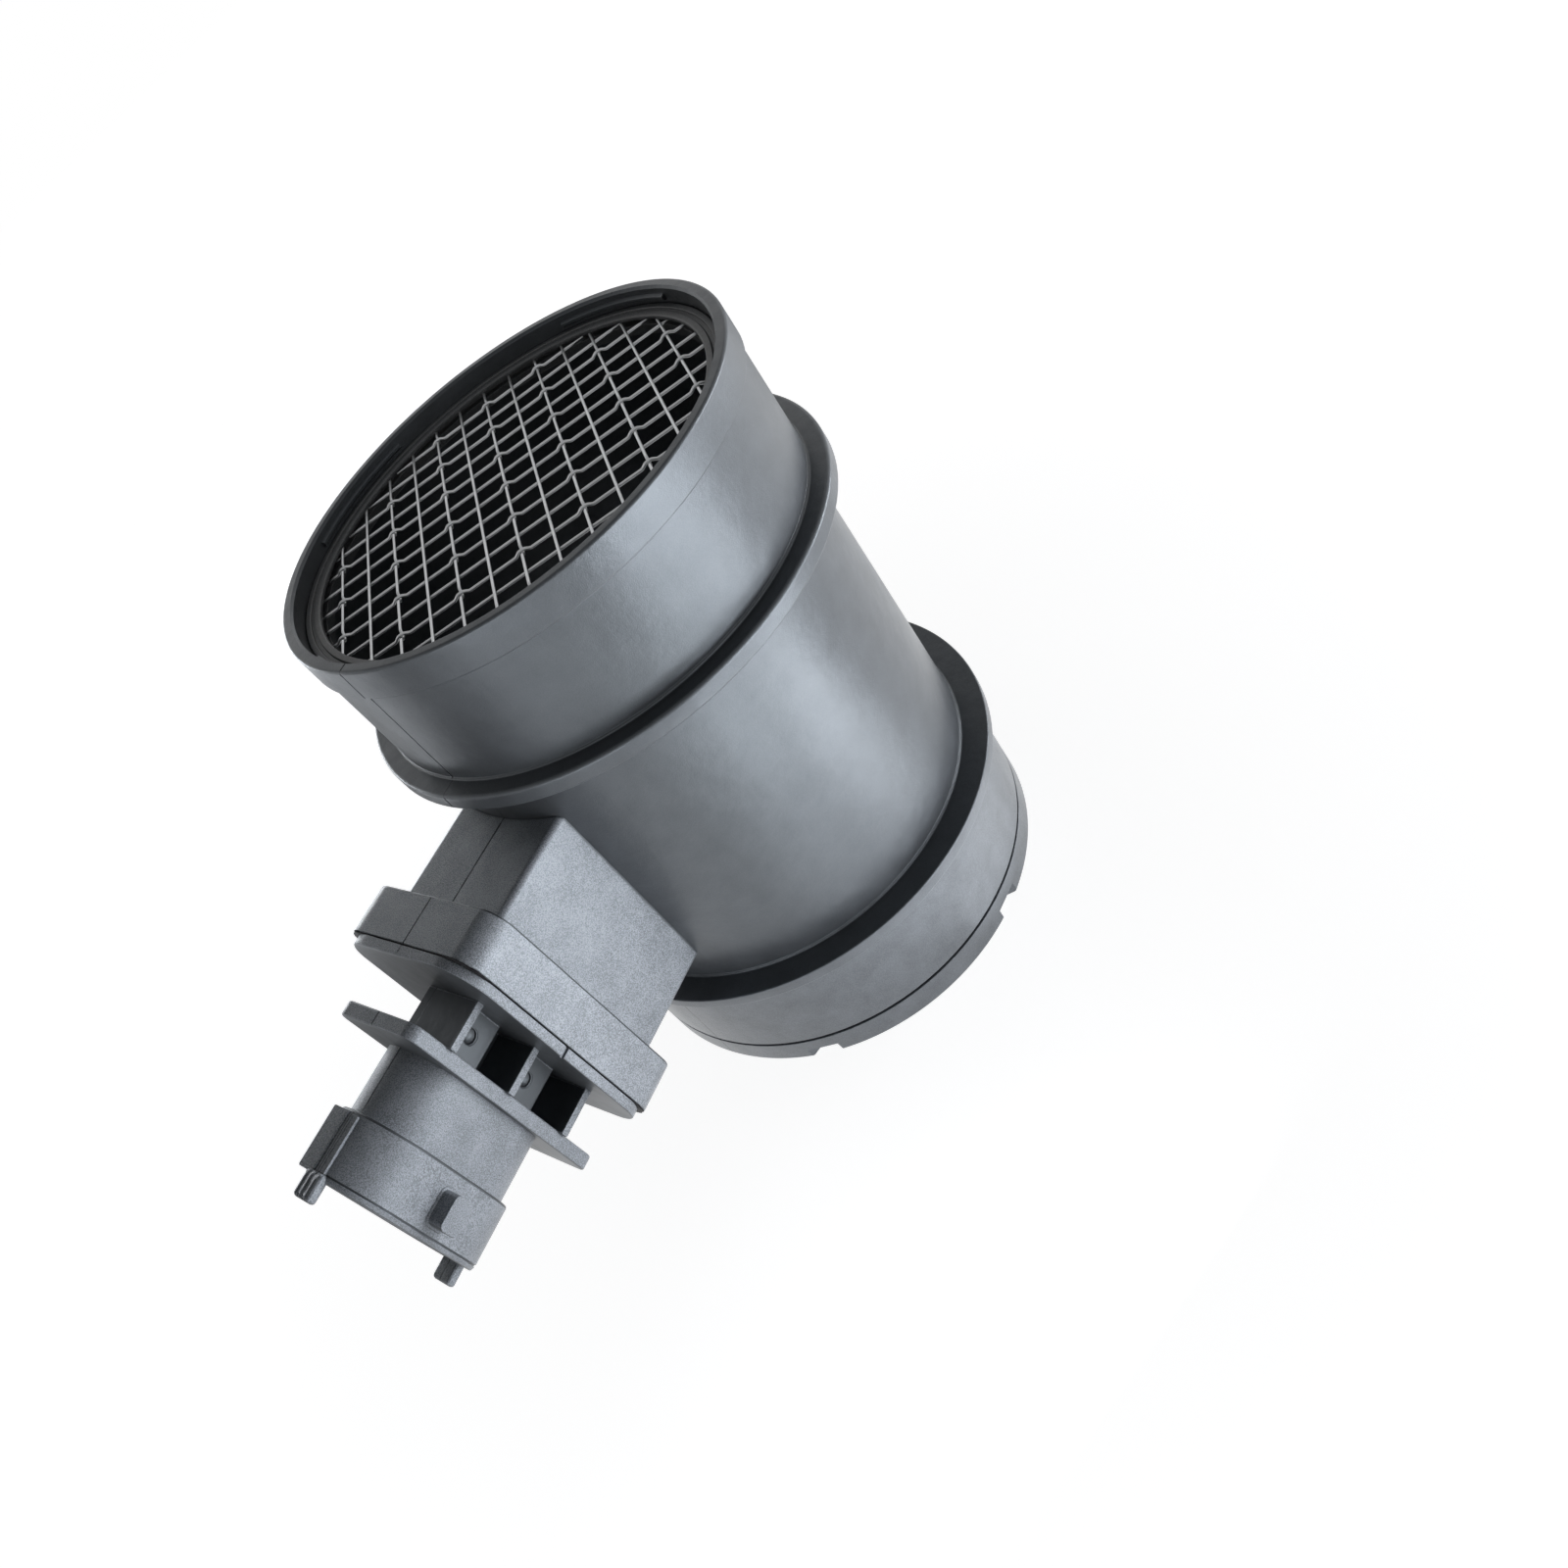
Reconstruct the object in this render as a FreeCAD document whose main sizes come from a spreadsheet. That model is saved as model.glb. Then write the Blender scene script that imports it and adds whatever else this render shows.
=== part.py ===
import FreeCAD, Part
import Sketcher
import math
import os

# Mass airflow sensor: a moulded duct with a woven screen in its inlet, and a plug-in sensor
# module whose finger reaches across the duct.
# Frame: the duct's axis is Z, the outlet's end face lies on Z = 0 and the inlet is on top.
# The sensor module plugs in from -X. Distances called "out" are measured from the duct's axis
# towards -X, and -Y is the side with the latch nub.

DIMENSIONS = {
    # Duct moulding
    "tube_length": 113.0,
    "inlet_radius": 42.0,
    "inlet_collar_length": 5.9,
    "inlet_body_radius": 41.4,
    "rim_wall": 2.1,
    "bore_radius": 38.3,
    "bore_bottom": 30.0,
    "outlet_bore_radius": 39.6,
    "outlet_bore_top": 22.0,
    "barrel_radius": 40.3,
    "inlet_flange_radius": 44.9,
    "inlet_flange_top": 87.1,
    "inlet_flange_thickness": 3.2,
    "outlet_flange_radius": 45.3,
    "outlet_flange_top": 26.9,
    "outlet_flange_thickness": 2.4,
    "outlet_radius": 42.5,
    "lip_notch_count": 6,
    "lip_notch_angle": -92.0,
    "lip_notch_width": 6.0,
    "lip_notch_height": 2.6,
    "lip_notch_depth": 1.6,
    "bead_count": 4,
    "bead_span": 36.0,
    "bead_depth": 1.6,
    "bead_height": 0.8,
    "bead_rise": 0.5,
    # Pedestal that carries the sensor module
    "pedestal_middle": 54.5,
    "pedestal_length": 41.3,
    "pedestal_width": 24.4,
    "pedestal_corner": 1.2,
    "band_overhang": 3.8,
    "band_out": 57.6,
    "band_face_out": 66.0,
    "band_corner": 4.2,
    "window_length": 34.9,
    "window_width": 17.9,
    "window_corner": 4.0,
    # Woven screen
    "ring_depth": 3.1,
    "ring_height": 3.7,
    "ring_inner_radius": 36.8,
    "ring_clearance": 0.1,
    "wire_radius": 0.25,
    "wire_pitch": 5.47,
    "wire_gap": 0.02,
    "wire_level": 1.3,
    "wire_seat": 1.4,
    "wire_slot_margin": 0.3,
    "wire_angle": 45.8,
    "weft_shift": -0.6,
    "crimp_flat": 0.9,
    "crimp_run": 1.0,
    # Sensor module: plate, neck, collar and connector
    "sealant_thickness": 0.25,
    "sealant_inset": 0.5,
    "sealant_width": 1.2,
    "plate_thickness": 1.75,
    "plate_corner": 7.0,
    "neck_top": 69.2,
    "neck_length": 29.7,
    "neck_depth": 7.8,
    "neck_web": 3.2,
    "neck_wall": 1.5,
    "neck_wall_reach": 10.3,
    "neck_block_length": 8.4,
    "neck_block_reach": 6.0,
    "ejector_mark_radius": 1.3,
    "ejector_mark_depth": 0.4,
    "collar_thickness": 2.5,
    "collar_middle": 53.4,
    "collar_length": 45.3,
    "collar_width": 19.0,
    "collar_corner": 2.2,
    "socket_middle": 54.0,
    "socket_length": 30.4,
    "socket_width": 16.0,
    "socket_neck_depth": 10.9,
    "socket_step": 1.2,
    "socket_shroud_depth": 10.6,
    "socket_wall": 1.5,
    "socket_hollow_depth": 16.5,
    "guide_width": 4.2,
    "guide_thickness": 1.8,
    "guide_reach": 3.4,
    "guide_stand": 0.6,
    "pad_width": 9.2,
    "pad_stand": 0.4,
    "latch_length": 4.0,
    "latch_depth": 5.5,
    "latch_rise": 3.3,
    "latch_set_back": 2.4,
    "latch_round": 0.7,
    # Sensor module: spigot and finger
    "spigot_clearance": 0.25,
    "spigot_end_out": 45.0,
    "seal_groove_out": 52.0,
    "seal_groove_width": 2.4,
    "seal_groove_depth": 1.6,
    "seal_width": 2.2,
    "finger_length": 63.0,
    "finger_height": 27.0,
    "finger_thickness": 11.0,
    "finger_nose_round": 1.8,
    "chamber_out": 43.0,
    "chamber_length": 31.0,
    "chamber_height": 21.0,
    "cover_thickness": 1.2,
    "cover_lap": 1.0,
    "carrier_thickness": 1.0,
    "board_thickness": 0.8,
    "board_margin": 0.6,
    "channel_out": 7.0,
    "channel_length": 20.0,
    "channel_width": 8.0,
    "channel_outlet_width": 6.0,
    "channel_turn_width": 5.0,
    "channel_depth": 9.0,
    "holder_thickness": 1.2,
    "holder_height": 4.8,
    "holder_on_board": 11.0,
    "holder_end_gap": 1.0,
    "holder_side_gap": 0.2,
    "chip_thickness": 0.4,
    "chip_length": 5.0,
    "chip_height": 2.4,
    "signal_chip_size": 7.0,
    "signal_chip_thickness": 1.2,
    "signal_chip_gap": 2.6,
    # Terminals
    "terminal_count": 5,
    "terminal_pitch": 4.5,
    "terminal_width": 1.2,
    "terminal_thickness": 0.6,
    "terminal_on_board": 4.0,
    "terminal_reach": 12.5,
    "terminal_tip": 1.0,
    # Air temperature probe
    "lead_radius": 0.25,
    "lead_pitch": 10.0,
    "lead_out": 26.0,
    "lead_inside": 3.6,
    "lead_rise": 5.0,
    "lead_bend": 1.2,
    "thermistor_length": 4.0,
    "thermistor_radius": 1.1,
}

doc = FreeCAD.newDocument("mass_airflow_sensor")
sheet = doc.addObject("Spreadsheet::Sheet", "Size")
for row, (word, number) in enumerate(DIMENSIONS.items(), start=1):
    sheet.set(f"A{row}", word)
    sheet.set(f"B{row}", str(number))
    sheet.setAlias(f"B{row}", word)
doc.recompute()

# Places that several pieces share, as expressions of the sheet's cells.
BAND_LENGTH = "(Size.pedestal_length + 2 * Size.band_overhang)"
BAND_WIDTH = "(Size.pedestal_width + 2 * Size.band_overhang)"
RING_RADIUS = "(Size.inlet_radius - Size.rim_wall)"
RING_TOP = "(Size.tube_length - Size.ring_depth)"
RING_SEAT = "(Size.tube_length - Size.ring_depth - Size.ring_height)"
WIRE_LEVEL = "(Size.tube_length - Size.ring_depth - Size.wire_level)"
WIRE_RISE = "(Size.wire_radius + Size.wire_gap / 2)"
WIRE_REACH = "(Size.ring_inner_radius + Size.wire_seat)"
PLATE_INNER = "(Size.band_face_out + Size.sealant_thickness)"
PLATE_OUT = "(Size.band_face_out + Size.sealant_thickness + Size.plate_thickness)"
COLLAR_INNER = f"({PLATE_OUT} + Size.neck_depth)"
COLLAR_OUT = f"({PLATE_OUT} + Size.neck_depth + Size.collar_thickness)"
STEP_OUT = f"({COLLAR_OUT} + Size.socket_neck_depth)"
MOUTH_OUT = f"({COLLAR_OUT} + Size.socket_neck_depth + Size.socket_shroud_depth)"
HOLLOW_OUT = f"({MOUTH_OUT} - Size.socket_hollow_depth)"
SPIGOT_LENGTH = "(Size.window_length - 2 * Size.spigot_clearance)"
SPIGOT_WIDTH = "(Size.window_width - 2 * Size.spigot_clearance)"
SPIGOT_CORNER = "(Size.window_corner - Size.spigot_clearance)"
FINGER_TIP_OUT = "(Size.spigot_end_out - Size.finger_length)"
FINGER_TOP = "(Size.pedestal_middle + Size.finger_height / 2)"
FINGER_SIDE = "(Size.finger_thickness / 2)"
CHAMBER_END_OUT = "(Size.chamber_out - Size.chamber_length)"
CHAMBER_TOP = "(Size.pedestal_middle + Size.chamber_height / 2)"
BOARD_FACE = "(Size.terminal_thickness / 2)"
BOARD_BACK = f"({BOARD_FACE} + Size.board_thickness)"
CHAMBER_FLOOR = f"({BOARD_BACK} + Size.carrier_thickness)"
CHANNEL_END = "(Size.channel_length - Size.channel_out)"
LEAD_PLANE = f"({BOARD_FACE} - Size.lead_radius)"
LEAD_TOP = f"({FINGER_TOP} + Size.lead_rise)"
CHANNEL_NEAR = f"({CHANNEL_END} - Size.channel_width)"


def value(expression):
    """The number that an expression of the sheet's cells stands for now."""
    return float(sheet.evalExpression(str(expression)))


def origin_plane(body, role):
    return next(item for item in body.Origin.OriginFeatures if item.Role == role)


def new_body(label):
    body = doc.addObject("PartDesign::Body", label)
    body.Label = label
    return body


def sketch_on(body, name, role, offset="0"):
    """A sketch on one of the body's own planes, moved along that plane's normal."""
    sketch = body.newObject("Sketcher::SketchObject", name)
    sketch.AttachmentSupport = [(origin_plane(body, role), "")]
    sketch.MapMode = "FlatFace"
    sketch.setExpression("AttachmentOffset.Base.z", offset)
    return sketch


def bind(sketch, kind, places, expression):
    """A driving dimension of the sketch, bound to an expression."""
    number = value(expression)
    index = sketch.addConstraint(Sketcher.Constraint(kind, *places, number))
    sketch.setExpression(f"Constraints[{index}]", expression)


def place_point(sketch, geometry, point, across, up):
    """Fix one point of the sketch by its two coordinates."""
    for kind, expression, axis in (("DistanceX", across, -2), ("DistanceY", up, -1)):
        if expression == "0":
            sketch.addConstraint(Sketcher.Constraint("PointOnObject", geometry, point, axis))
        else:
            bind(sketch, kind, (-1, 1, geometry, point), expression)


def polygon(sketch, corners):
    """A closed outline through corners, each given as two expressions."""
    spots = [FreeCAD.Vector(value(across), value(up), 0) for across, up in corners]
    first = sketch.GeometryCount
    count = len(spots)
    for index in range(count):
        sketch.addGeometry(Part.LineSegment(spots[index], spots[(index + 1) % count]), False)
    for index in range(count):
        following = first + (index + 1) % count
        sketch.addConstraint(Sketcher.Constraint("Coincident", first + index, 2, following, 1))
    for index, (across, up) in enumerate(corners, start=first):
        place_point(sketch, index, 1, across, up)


def box_corners(low_across, high_across, low_up, high_up):
    return [
        (low_across, low_up),
        (high_across, low_up),
        (high_across, high_up),
        (low_across, high_up),
    ]


def rounded_rectangle(sketch, middle, length, width, corner):
    """An outline on a YZ plane: width along Y about the axis, length along Z about middle."""
    half_width = value(width) / 2
    top = value(middle) + value(length) / 2
    bottom = value(middle) - value(length) / 2
    round_ = value(corner)
    spots = [
        (half_width - round_, bottom + round_, -90),
        (half_width - round_, top - round_, 0),
        (-half_width + round_, top - round_, 90),
        (-half_width + round_, bottom + round_, 180),
    ]
    arcs = [sketch.GeometryCount + index for index in range(4)]
    lines = [sketch.GeometryCount + 4 + index for index in range(4)]
    for across, up, start in spots:
        circle = Part.Circle(FreeCAD.Vector(across, up, 0), FreeCAD.Vector(0, 0, 1), round_)
        arc = Part.ArcOfCircle(circle, math.radians(start), math.radians(start + 90))
        sketch.addGeometry(arc, False)
    for index in range(4):
        begin = sketch.getPoint(arcs[index], 2)
        finish = sketch.getPoint(arcs[(index + 1) % 4], 1)
        sketch.addGeometry(Part.LineSegment(begin, finish), False)
    for index in range(4):
        following = arcs[(index + 1) % 4]
        direction = "Horizontal" if index % 2 else "Vertical"
        sketch.addConstraint(Sketcher.Constraint("Tangent", arcs[index], 2, lines[index], 1))
        sketch.addConstraint(Sketcher.Constraint("Tangent", lines[index], 2, following, 1))
        sketch.addConstraint(Sketcher.Constraint(direction, lines[index]))
    for index in range(1, 4):
        sketch.addConstraint(Sketcher.Constraint("Equal", arcs[0], arcs[index]))
    bind(sketch, "Radius", (arcs[0],), corner)
    for arc, sign in ((arcs[0], "-"), (arcs[2], "+")):
        across = f"-1 * ({sign}1) * ({width} / 2 - {corner})"
        bind(sketch, "DistanceX", (-1, 1, arc, 3), across)
        bind(sketch, "DistanceY", (-1, 1, arc, 3), f"{middle} {sign} ({length} / 2 - {corner})")


def ring_outline(sketch, middle, outer, inner):
    """Two rounded rectangles, one in the other, each given as length, width and corner."""
    rounded_rectangle(sketch, middle, *outer)
    rounded_rectangle(sketch, middle, *inner)


def stadium(sketch, middle, length, width):
    """An outline on a YZ plane with half-round ends at the top and the bottom."""
    half_width = value(width) / 2
    reach = value(length) / 2 - half_width
    for sign, start in ((1, 0), (-1, 180)):
        centre = FreeCAD.Vector(0, value(middle) + sign * reach, 0)
        circle = Part.Circle(centre, FreeCAD.Vector(0, 0, 1), half_width)
        arc = Part.ArcOfCircle(circle, math.radians(start), math.radians(start + 180))
        sketch.addGeometry(arc, False)
    for first, second in ((0, 1), (1, 0)):
        begin = sketch.getPoint(first, 2)
        finish = sketch.getPoint(second, 1)
        sketch.addGeometry(Part.LineSegment(begin, finish), False)
    for line, (first, second) in enumerate(((0, 1), (1, 0)), start=2):
        sketch.addConstraint(Sketcher.Constraint("Tangent", first, 2, line, 1))
        sketch.addConstraint(Sketcher.Constraint("Tangent", line, 2, second, 1))
    sketch.addConstraint(Sketcher.Constraint("PointOnObject", 0, 3, -2))
    sketch.addConstraint(Sketcher.Constraint("PointOnObject", 1, 3, -2))
    sketch.addConstraint(Sketcher.Constraint("Equal", 0, 1))
    bind(sketch, "Radius", (0,), f"{width} / 2")
    bind(sketch, "DistanceY", (-1, 1, 0, 3), f"{middle} + {length} / 2 - {width} / 2")
    bind(sketch, "DistanceY", (-1, 1, 1, 3), f"{middle} - {length} / 2 + {width} / 2")


def revolve(body, name, corners, kind="PartDesign::Revolution"):
    """A full turn about Z of an outline given by radius and height."""
    sketch = sketch_on(body, f"{name}_outline", "XZ_Plane")
    polygon(sketch, corners)
    feature = body.newObject(kind, name)
    feature.Profile = sketch
    feature.ReferenceAxis = (sketch, ["V_Axis"])
    feature.Angle = 360
    return feature


def extrude(body, name, sketch, length, kind, reverse):
    feature = body.newObject(kind, name)
    feature.Profile = sketch
    feature.setExpression("Length", length)
    feature.Reversed = reverse
    return feature


def slab(body, name, outer, inner, outline, *sizes, kind="PartDesign::Pad"):
    """Material, or a cut, between two distances out along -X, with an outline seen from -X."""
    sketch = sketch_on(body, f"{name}_outline", "YZ_Plane", f"-({outer})")
    outline(sketch, *sizes)
    return extrude(body, name, sketch, f"{outer} - ({inner})", kind, kind.endswith("Pocket"))


def side_pocket(body, name, from_y, to_y, corners):
    """A cut into the -Y side between two values of Y, with corners given by X and Z."""
    sketch = sketch_on(body, f"{name}_outline", "XZ_Plane", f"-({from_y})")
    polygon(sketch, corners)
    return extrude(body, name, sketch, f"({to_y}) - ({from_y})", "PartDesign::Pocket", False)


def plate_between(body, name, low_y, high_y, corners):
    """A flat pad between two values of Y, with corners given by X and Z."""
    sketch = sketch_on(body, f"{name}_outline", "XZ_Plane", f"-({high_y})")
    polygon(sketch, corners)
    return extrude(body, name, sketch, f"({high_y}) - ({low_y})", "PartDesign::Pad", False)


def upright_edges(shape, direction, test):
    """Names of the straight edges of a shape that run along a direction and pass a test."""
    names = []
    for index, edge in enumerate(shape.Edges, start=1):
        if not isinstance(edge.Curve, Part.Line):
            continue
        if abs(edge.Curve.Direction.dot(direction)) > 0.999 and test(edge.CenterOfMass):
            names.append(f"Edge{index}")
    return names


def fillet(body, name, base, names, radius):
    doc.recompute()
    feature = body.newObject("PartDesign::Fillet", name)
    feature.Base = (base, names)
    feature.setExpression("Radius", radius)
    return feature


def tube_housing():
    """The duct: inlet and outlet ends, two flanges, the pedestal with its band, one moulding."""
    body = new_body("tube_housing")
    collar_bottom = "Size.tube_length - Size.inlet_collar_length"
    inlet_flange_bottom = "Size.inlet_flange_top - Size.inlet_flange_thickness"
    outlet_flange_bottom = "Size.outlet_flange_top - Size.outlet_flange_thickness"
    revolve(body, "duct_outside", [
        ("0", "0"),
        ("Size.outlet_radius", "0"),
        ("Size.outlet_radius", outlet_flange_bottom),
        ("Size.outlet_flange_radius", outlet_flange_bottom),
        ("Size.outlet_flange_radius", "Size.outlet_flange_top"),
        ("Size.barrel_radius", "Size.outlet_flange_top"),
        ("Size.barrel_radius", inlet_flange_bottom),
        ("Size.inlet_flange_radius", inlet_flange_bottom),
        ("Size.inlet_flange_radius", "Size.inlet_flange_top"),
        ("Size.inlet_body_radius", "Size.inlet_flange_top"),
        ("Size.inlet_body_radius", collar_bottom),
        ("Size.inlet_radius", collar_bottom),
        ("Size.inlet_radius", "Size.tube_length"),
        ("0", "Size.tube_length"),
    ])
    pedestal = slab(body, "pedestal", "Size.band_out", "0", rounded_rectangle, "Size.pedestal_middle",
                    "Size.pedestal_length", "Size.pedestal_width", "Size.pedestal_corner")
    pedestal.Refine = True
    slab(body, "band", "Size.band_face_out", "Size.band_out", rounded_rectangle,
         "Size.pedestal_middle", BAND_LENGTH, BAND_WIDTH, "Size.band_corner")
    revolve(body, "duct_bore", [
        ("0", "0"),
        ("Size.outlet_bore_radius", "0"),
        ("Size.outlet_bore_radius", "Size.outlet_bore_top"),
        ("Size.bore_radius", "Size.bore_bottom"),
        ("Size.bore_radius", RING_SEAT),
        (RING_RADIUS, RING_SEAT),
        (RING_RADIUS, "Size.tube_length"),
        ("0", "Size.tube_length"),
    ], kind="PartDesign::Groove")
    slab(body, "window", "Size.band_face_out", "0", rounded_rectangle, "Size.pedestal_middle",
         "Size.window_length", "Size.window_width", "Size.window_corner",
         kind="PartDesign::Pocket")
    lip_notches(body)
    snap_beads(body)
    return body


def polar_copies(body, name, feature, count):
    pattern = body.newObject("PartDesign::PolarPattern", name)
    pattern.Originals = [feature]
    pattern.Axis = (origin_plane(body, "Z_Axis"), [""])
    pattern.Angle = 360
    pattern.setExpression("Occurrences", count)
    body.Tip = pattern
    return pattern


def lip_notches(body):
    """Shallow notches around the outlet's end lip, bevelled at their sides."""
    floor = "(Size.outlet_radius - Size.lip_notch_depth)"
    turn = FreeCAD.Rotation(FreeCAD.Vector(0, 1, 0), value("Size.lip_notch_angle"))
    sketch = sketch_on(body, "lip_notch_outline", "YZ_Plane")
    sketch.AttachmentOffset = FreeCAD.Placement(FreeCAD.Vector(0, 0, 0), turn)
    sketch.setExpression("AttachmentOffset.Base.x", f"{floor} * sin(Size.lip_notch_angle * 1deg)")
    sketch.setExpression("AttachmentOffset.Base.z", f"{floor} * cos(Size.lip_notch_angle * 1deg)")
    half = "Size.lip_notch_width / 2"
    polygon(sketch, [
        (f"-({half})", "0"),
        (half, "0"),
        (f"{half} - Size.lip_notch_depth / 2", "Size.lip_notch_height"),
        (f"-({half} - Size.lip_notch_depth / 2)", "Size.lip_notch_height"),
    ])
    notch = extrude(body, "lip_notch", sketch, "2 * Size.lip_notch_depth",
                    "PartDesign::Pocket", True)
    polar_copies(body, "lip_notches", notch, "Size.lip_notch_count")


def snap_beads(body):
    """Arc-shaped beads inside the rim, which hold the screen's ring in its seat."""
    sketch = sketch_on(body, "snap_bead_outline", "XZ_Plane")
    low = "Size.tube_length - Size.bead_depth - Size.bead_height"
    high = "Size.tube_length - Size.bead_depth"
    middle = "Size.tube_length - Size.bead_depth - Size.bead_height / 2"
    polygon(sketch, [
        (f"{RING_RADIUS} + Size.bead_rise", low),
        (f"{RING_RADIUS} + Size.bead_rise", high),
        (RING_RADIUS, high),
        (f"{RING_RADIUS} - Size.bead_rise", middle),
        (RING_RADIUS, low),
    ])
    bead = body.newObject("PartDesign::Revolution", "snap_bead")
    bead.Profile = sketch
    bead.ReferenceAxis = (sketch, ["V_Axis"])
    bead.setExpression("Angle", "Size.bead_span")
    bead.Midplane = True
    polar_copies(body, "snap_beads", bead, "Size.bead_count")


def screen_ring():
    """The moulded ring that holds the ends of the screen's wires in a slot."""
    body = new_body("screen_ring")
    outer = f"({RING_RADIUS} - Size.ring_clearance)"
    half_slot = "(2 * Size.wire_radius + Size.wire_gap / 2)"
    slot_radius = f"({WIRE_REACH} + Size.wire_slot_margin)"
    revolve(body, "ring_section", [
        ("Size.ring_inner_radius", RING_SEAT),
        (outer, RING_SEAT),
        (outer, RING_TOP),
        ("Size.ring_inner_radius", RING_TOP),
        ("Size.ring_inner_radius", f"{WIRE_LEVEL} + {half_slot}"),
        (slot_radius, f"{WIRE_LEVEL} + {half_slot}"),
        (slot_radius, f"{WIRE_LEVEL} - {half_slot}"),
        ("Size.ring_inner_radius", f"{WIRE_LEVEL} - {half_slot}"),
    ])
    return body


def swept_wire(label, path, radius):
    """A wire of hexagonal section along a path in the XZ plane, mitred where it bends."""
    spots = [FreeCAD.Vector(along, 0, up) for along, up in path]
    run = (spots[1] - spots[0]).normalize()
    side = FreeCAD.Vector(0, 1, 0)
    across = run.cross(side)
    section = [
        spots[0] + side * (radius * math.cos(angle)) + across * (radius * math.sin(angle))
        for angle in (math.radians(30 + 60 * step) for step in range(7))
    ]
    spine = Part.makePolygon(spots)
    wire = doc.addObject("Part::Feature", label)
    wire.Label = label
    wire.Shape = spine.makePipeShell([Part.makePolygon(section)], True, False, 1)
    return wire


def screen_wire(label, offset, turn, level, path):
    """A wire of the screen: its middle lies beside the axis, and its run is turned about Z."""
    wire = swept_wire(label, path, value("Size.wire_radius"))
    rotation = FreeCAD.Rotation(FreeCAD.Vector(0, 0, 1), turn)
    middle = rotation.multVec(FreeCAD.Vector(0, offset, 0))
    wire.Placement = FreeCAD.Placement(middle + FreeCAD.Vector(0, 0, level), rotation)
    return wire


def crimped_path(offset, level, bend, crossings):
    """A path that leaves its own side of the middle plane at each crossing, and returns."""
    rise = value(WIRE_RISE)
    chord = math.sqrt(value(WIRE_REACH) ** 2 - offset ** 2)
    free = math.sqrt(value("Size.ring_inner_radius") ** 2 - offset ** 2)
    flat = value("Size.crimp_flat") / 2
    run = value("Size.crimp_run")
    start_level = level * rise
    path = [(-chord, start_level)]
    for spot in crossings:
        if abs(spot) + flat + run > free:
            continue
        path.append((spot - flat - run, start_level))
        path.append((spot - flat, bend * rise))
        path.append((spot + flat, bend * rise))
        path.append((spot + flat + run, start_level))
    path.append((chord, start_level))
    return path


def straight_path(offset, level):
    chord = math.sqrt(value(WIRE_REACH) ** 2 - offset ** 2)
    start_level = level * value(WIRE_RISE)
    return [(-chord, start_level), (chord, start_level)]


def screen_wires():
    """Warps and wefts of the screen. Straight and crimped wires take turns in both sets."""
    pitch = value("Size.wire_pitch")
    shift = value("Size.weft_shift")
    side_count = int(value("Size.ring_inner_radius") / pitch)
    steps = range(-side_count, side_count + 1)
    warp_turn = value("Size.wire_angle")
    weft_turn = warp_turn + 90
    crimped_warps = [step * pitch for step in steps if step % 2 == 0]
    crimped_wefts = [step * pitch + shift for step in steps if step % 2 == 0]
    level = value(WIRE_LEVEL)
    wires = []
    for number, step in enumerate(steps, start=1):
        warp = f"screen_warp_{number:02d}"
        weft = f"screen_weft_{number:02d}"
        warp_offset = step * pitch
        weft_offset = -(step * pitch + shift)
        if step % 2:
            warp_path = straight_path(warp_offset, 1)
            weft_path = straight_path(weft_offset, -1)
        else:
            warp_path = crimped_path(warp_offset, 1, -1, crimped_wefts)
            weft_path = crimped_path(weft_offset, -1, 1, crimped_warps)
        wires.append(screen_wire(warp, warp_offset, warp_turn, level, warp_path))
        wires.append(screen_wire(weft, weft_offset, weft_turn, level, weft_path))
    return wires


def neck_wall_top(index):
    """Height of the upper side of one of the neck's three cross walls."""
    return f"(Size.neck_top - {index} * (Size.neck_length - Size.neck_wall) / 2)"


def neck(body):
    """The ribbed neck between plate and collar: a web, three cross walls and two blocks."""
    half_web = "Size.neck_web / 2"
    bottom = "Size.neck_top - Size.neck_length"
    slab(body, "neck_web", COLLAR_INNER, PLATE_OUT, polygon,
         box_corners(f"-({half_web})", half_web, bottom, "Size.neck_top"))
    for index in range(3):
        top = neck_wall_top(index)
        far_side = "Size.neck_wall_reach" if index else half_web
        slab(body, f"neck_wall_{index + 1}", COLLAR_INNER, PLATE_OUT, polygon,
             box_corners("-(Size.neck_wall_reach)", far_side, f"{top} - Size.neck_wall", top))
    for index in range(2):
        top = f"{neck_wall_top(index)} - Size.neck_wall"
        slab(body, f"neck_block_{index + 1}", COLLAR_INNER, PLATE_OUT, polygon,
             box_corners("-(Size.neck_block_reach)", half_web, f"{top} - Size.neck_block_length", top))
        ejector_mark(body, index, f"{top} - Size.neck_block_length / 2")


def ejector_mark(body, index, middle):
    """The round mark that an ejector pin leaves in the face of a neck block."""
    face = "(Size.neck_block_reach)"
    out = f"({PLATE_OUT} + Size.neck_depth / 2)"
    sketch = sketch_on(body, f"ejector_mark_{index + 1}_outline", "XZ_Plane", face)
    centre = FreeCAD.Vector(-value(out), value(middle), 0)
    circle = Part.Circle(centre, FreeCAD.Vector(0, 0, 1), value("Size.ejector_mark_radius"))
    sketch.addGeometry(circle, False)
    bind(sketch, "Radius", (0,), "Size.ejector_mark_radius")
    bind(sketch, "DistanceX", (-1, 1, 0, 3), f"-{out}")
    bind(sketch, "DistanceY", (-1, 1, 0, 3), middle)
    return extrude(body, f"ejector_mark_{index + 1}", sketch, "Size.ejector_mark_depth",
                   "PartDesign::Pocket", False)


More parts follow.
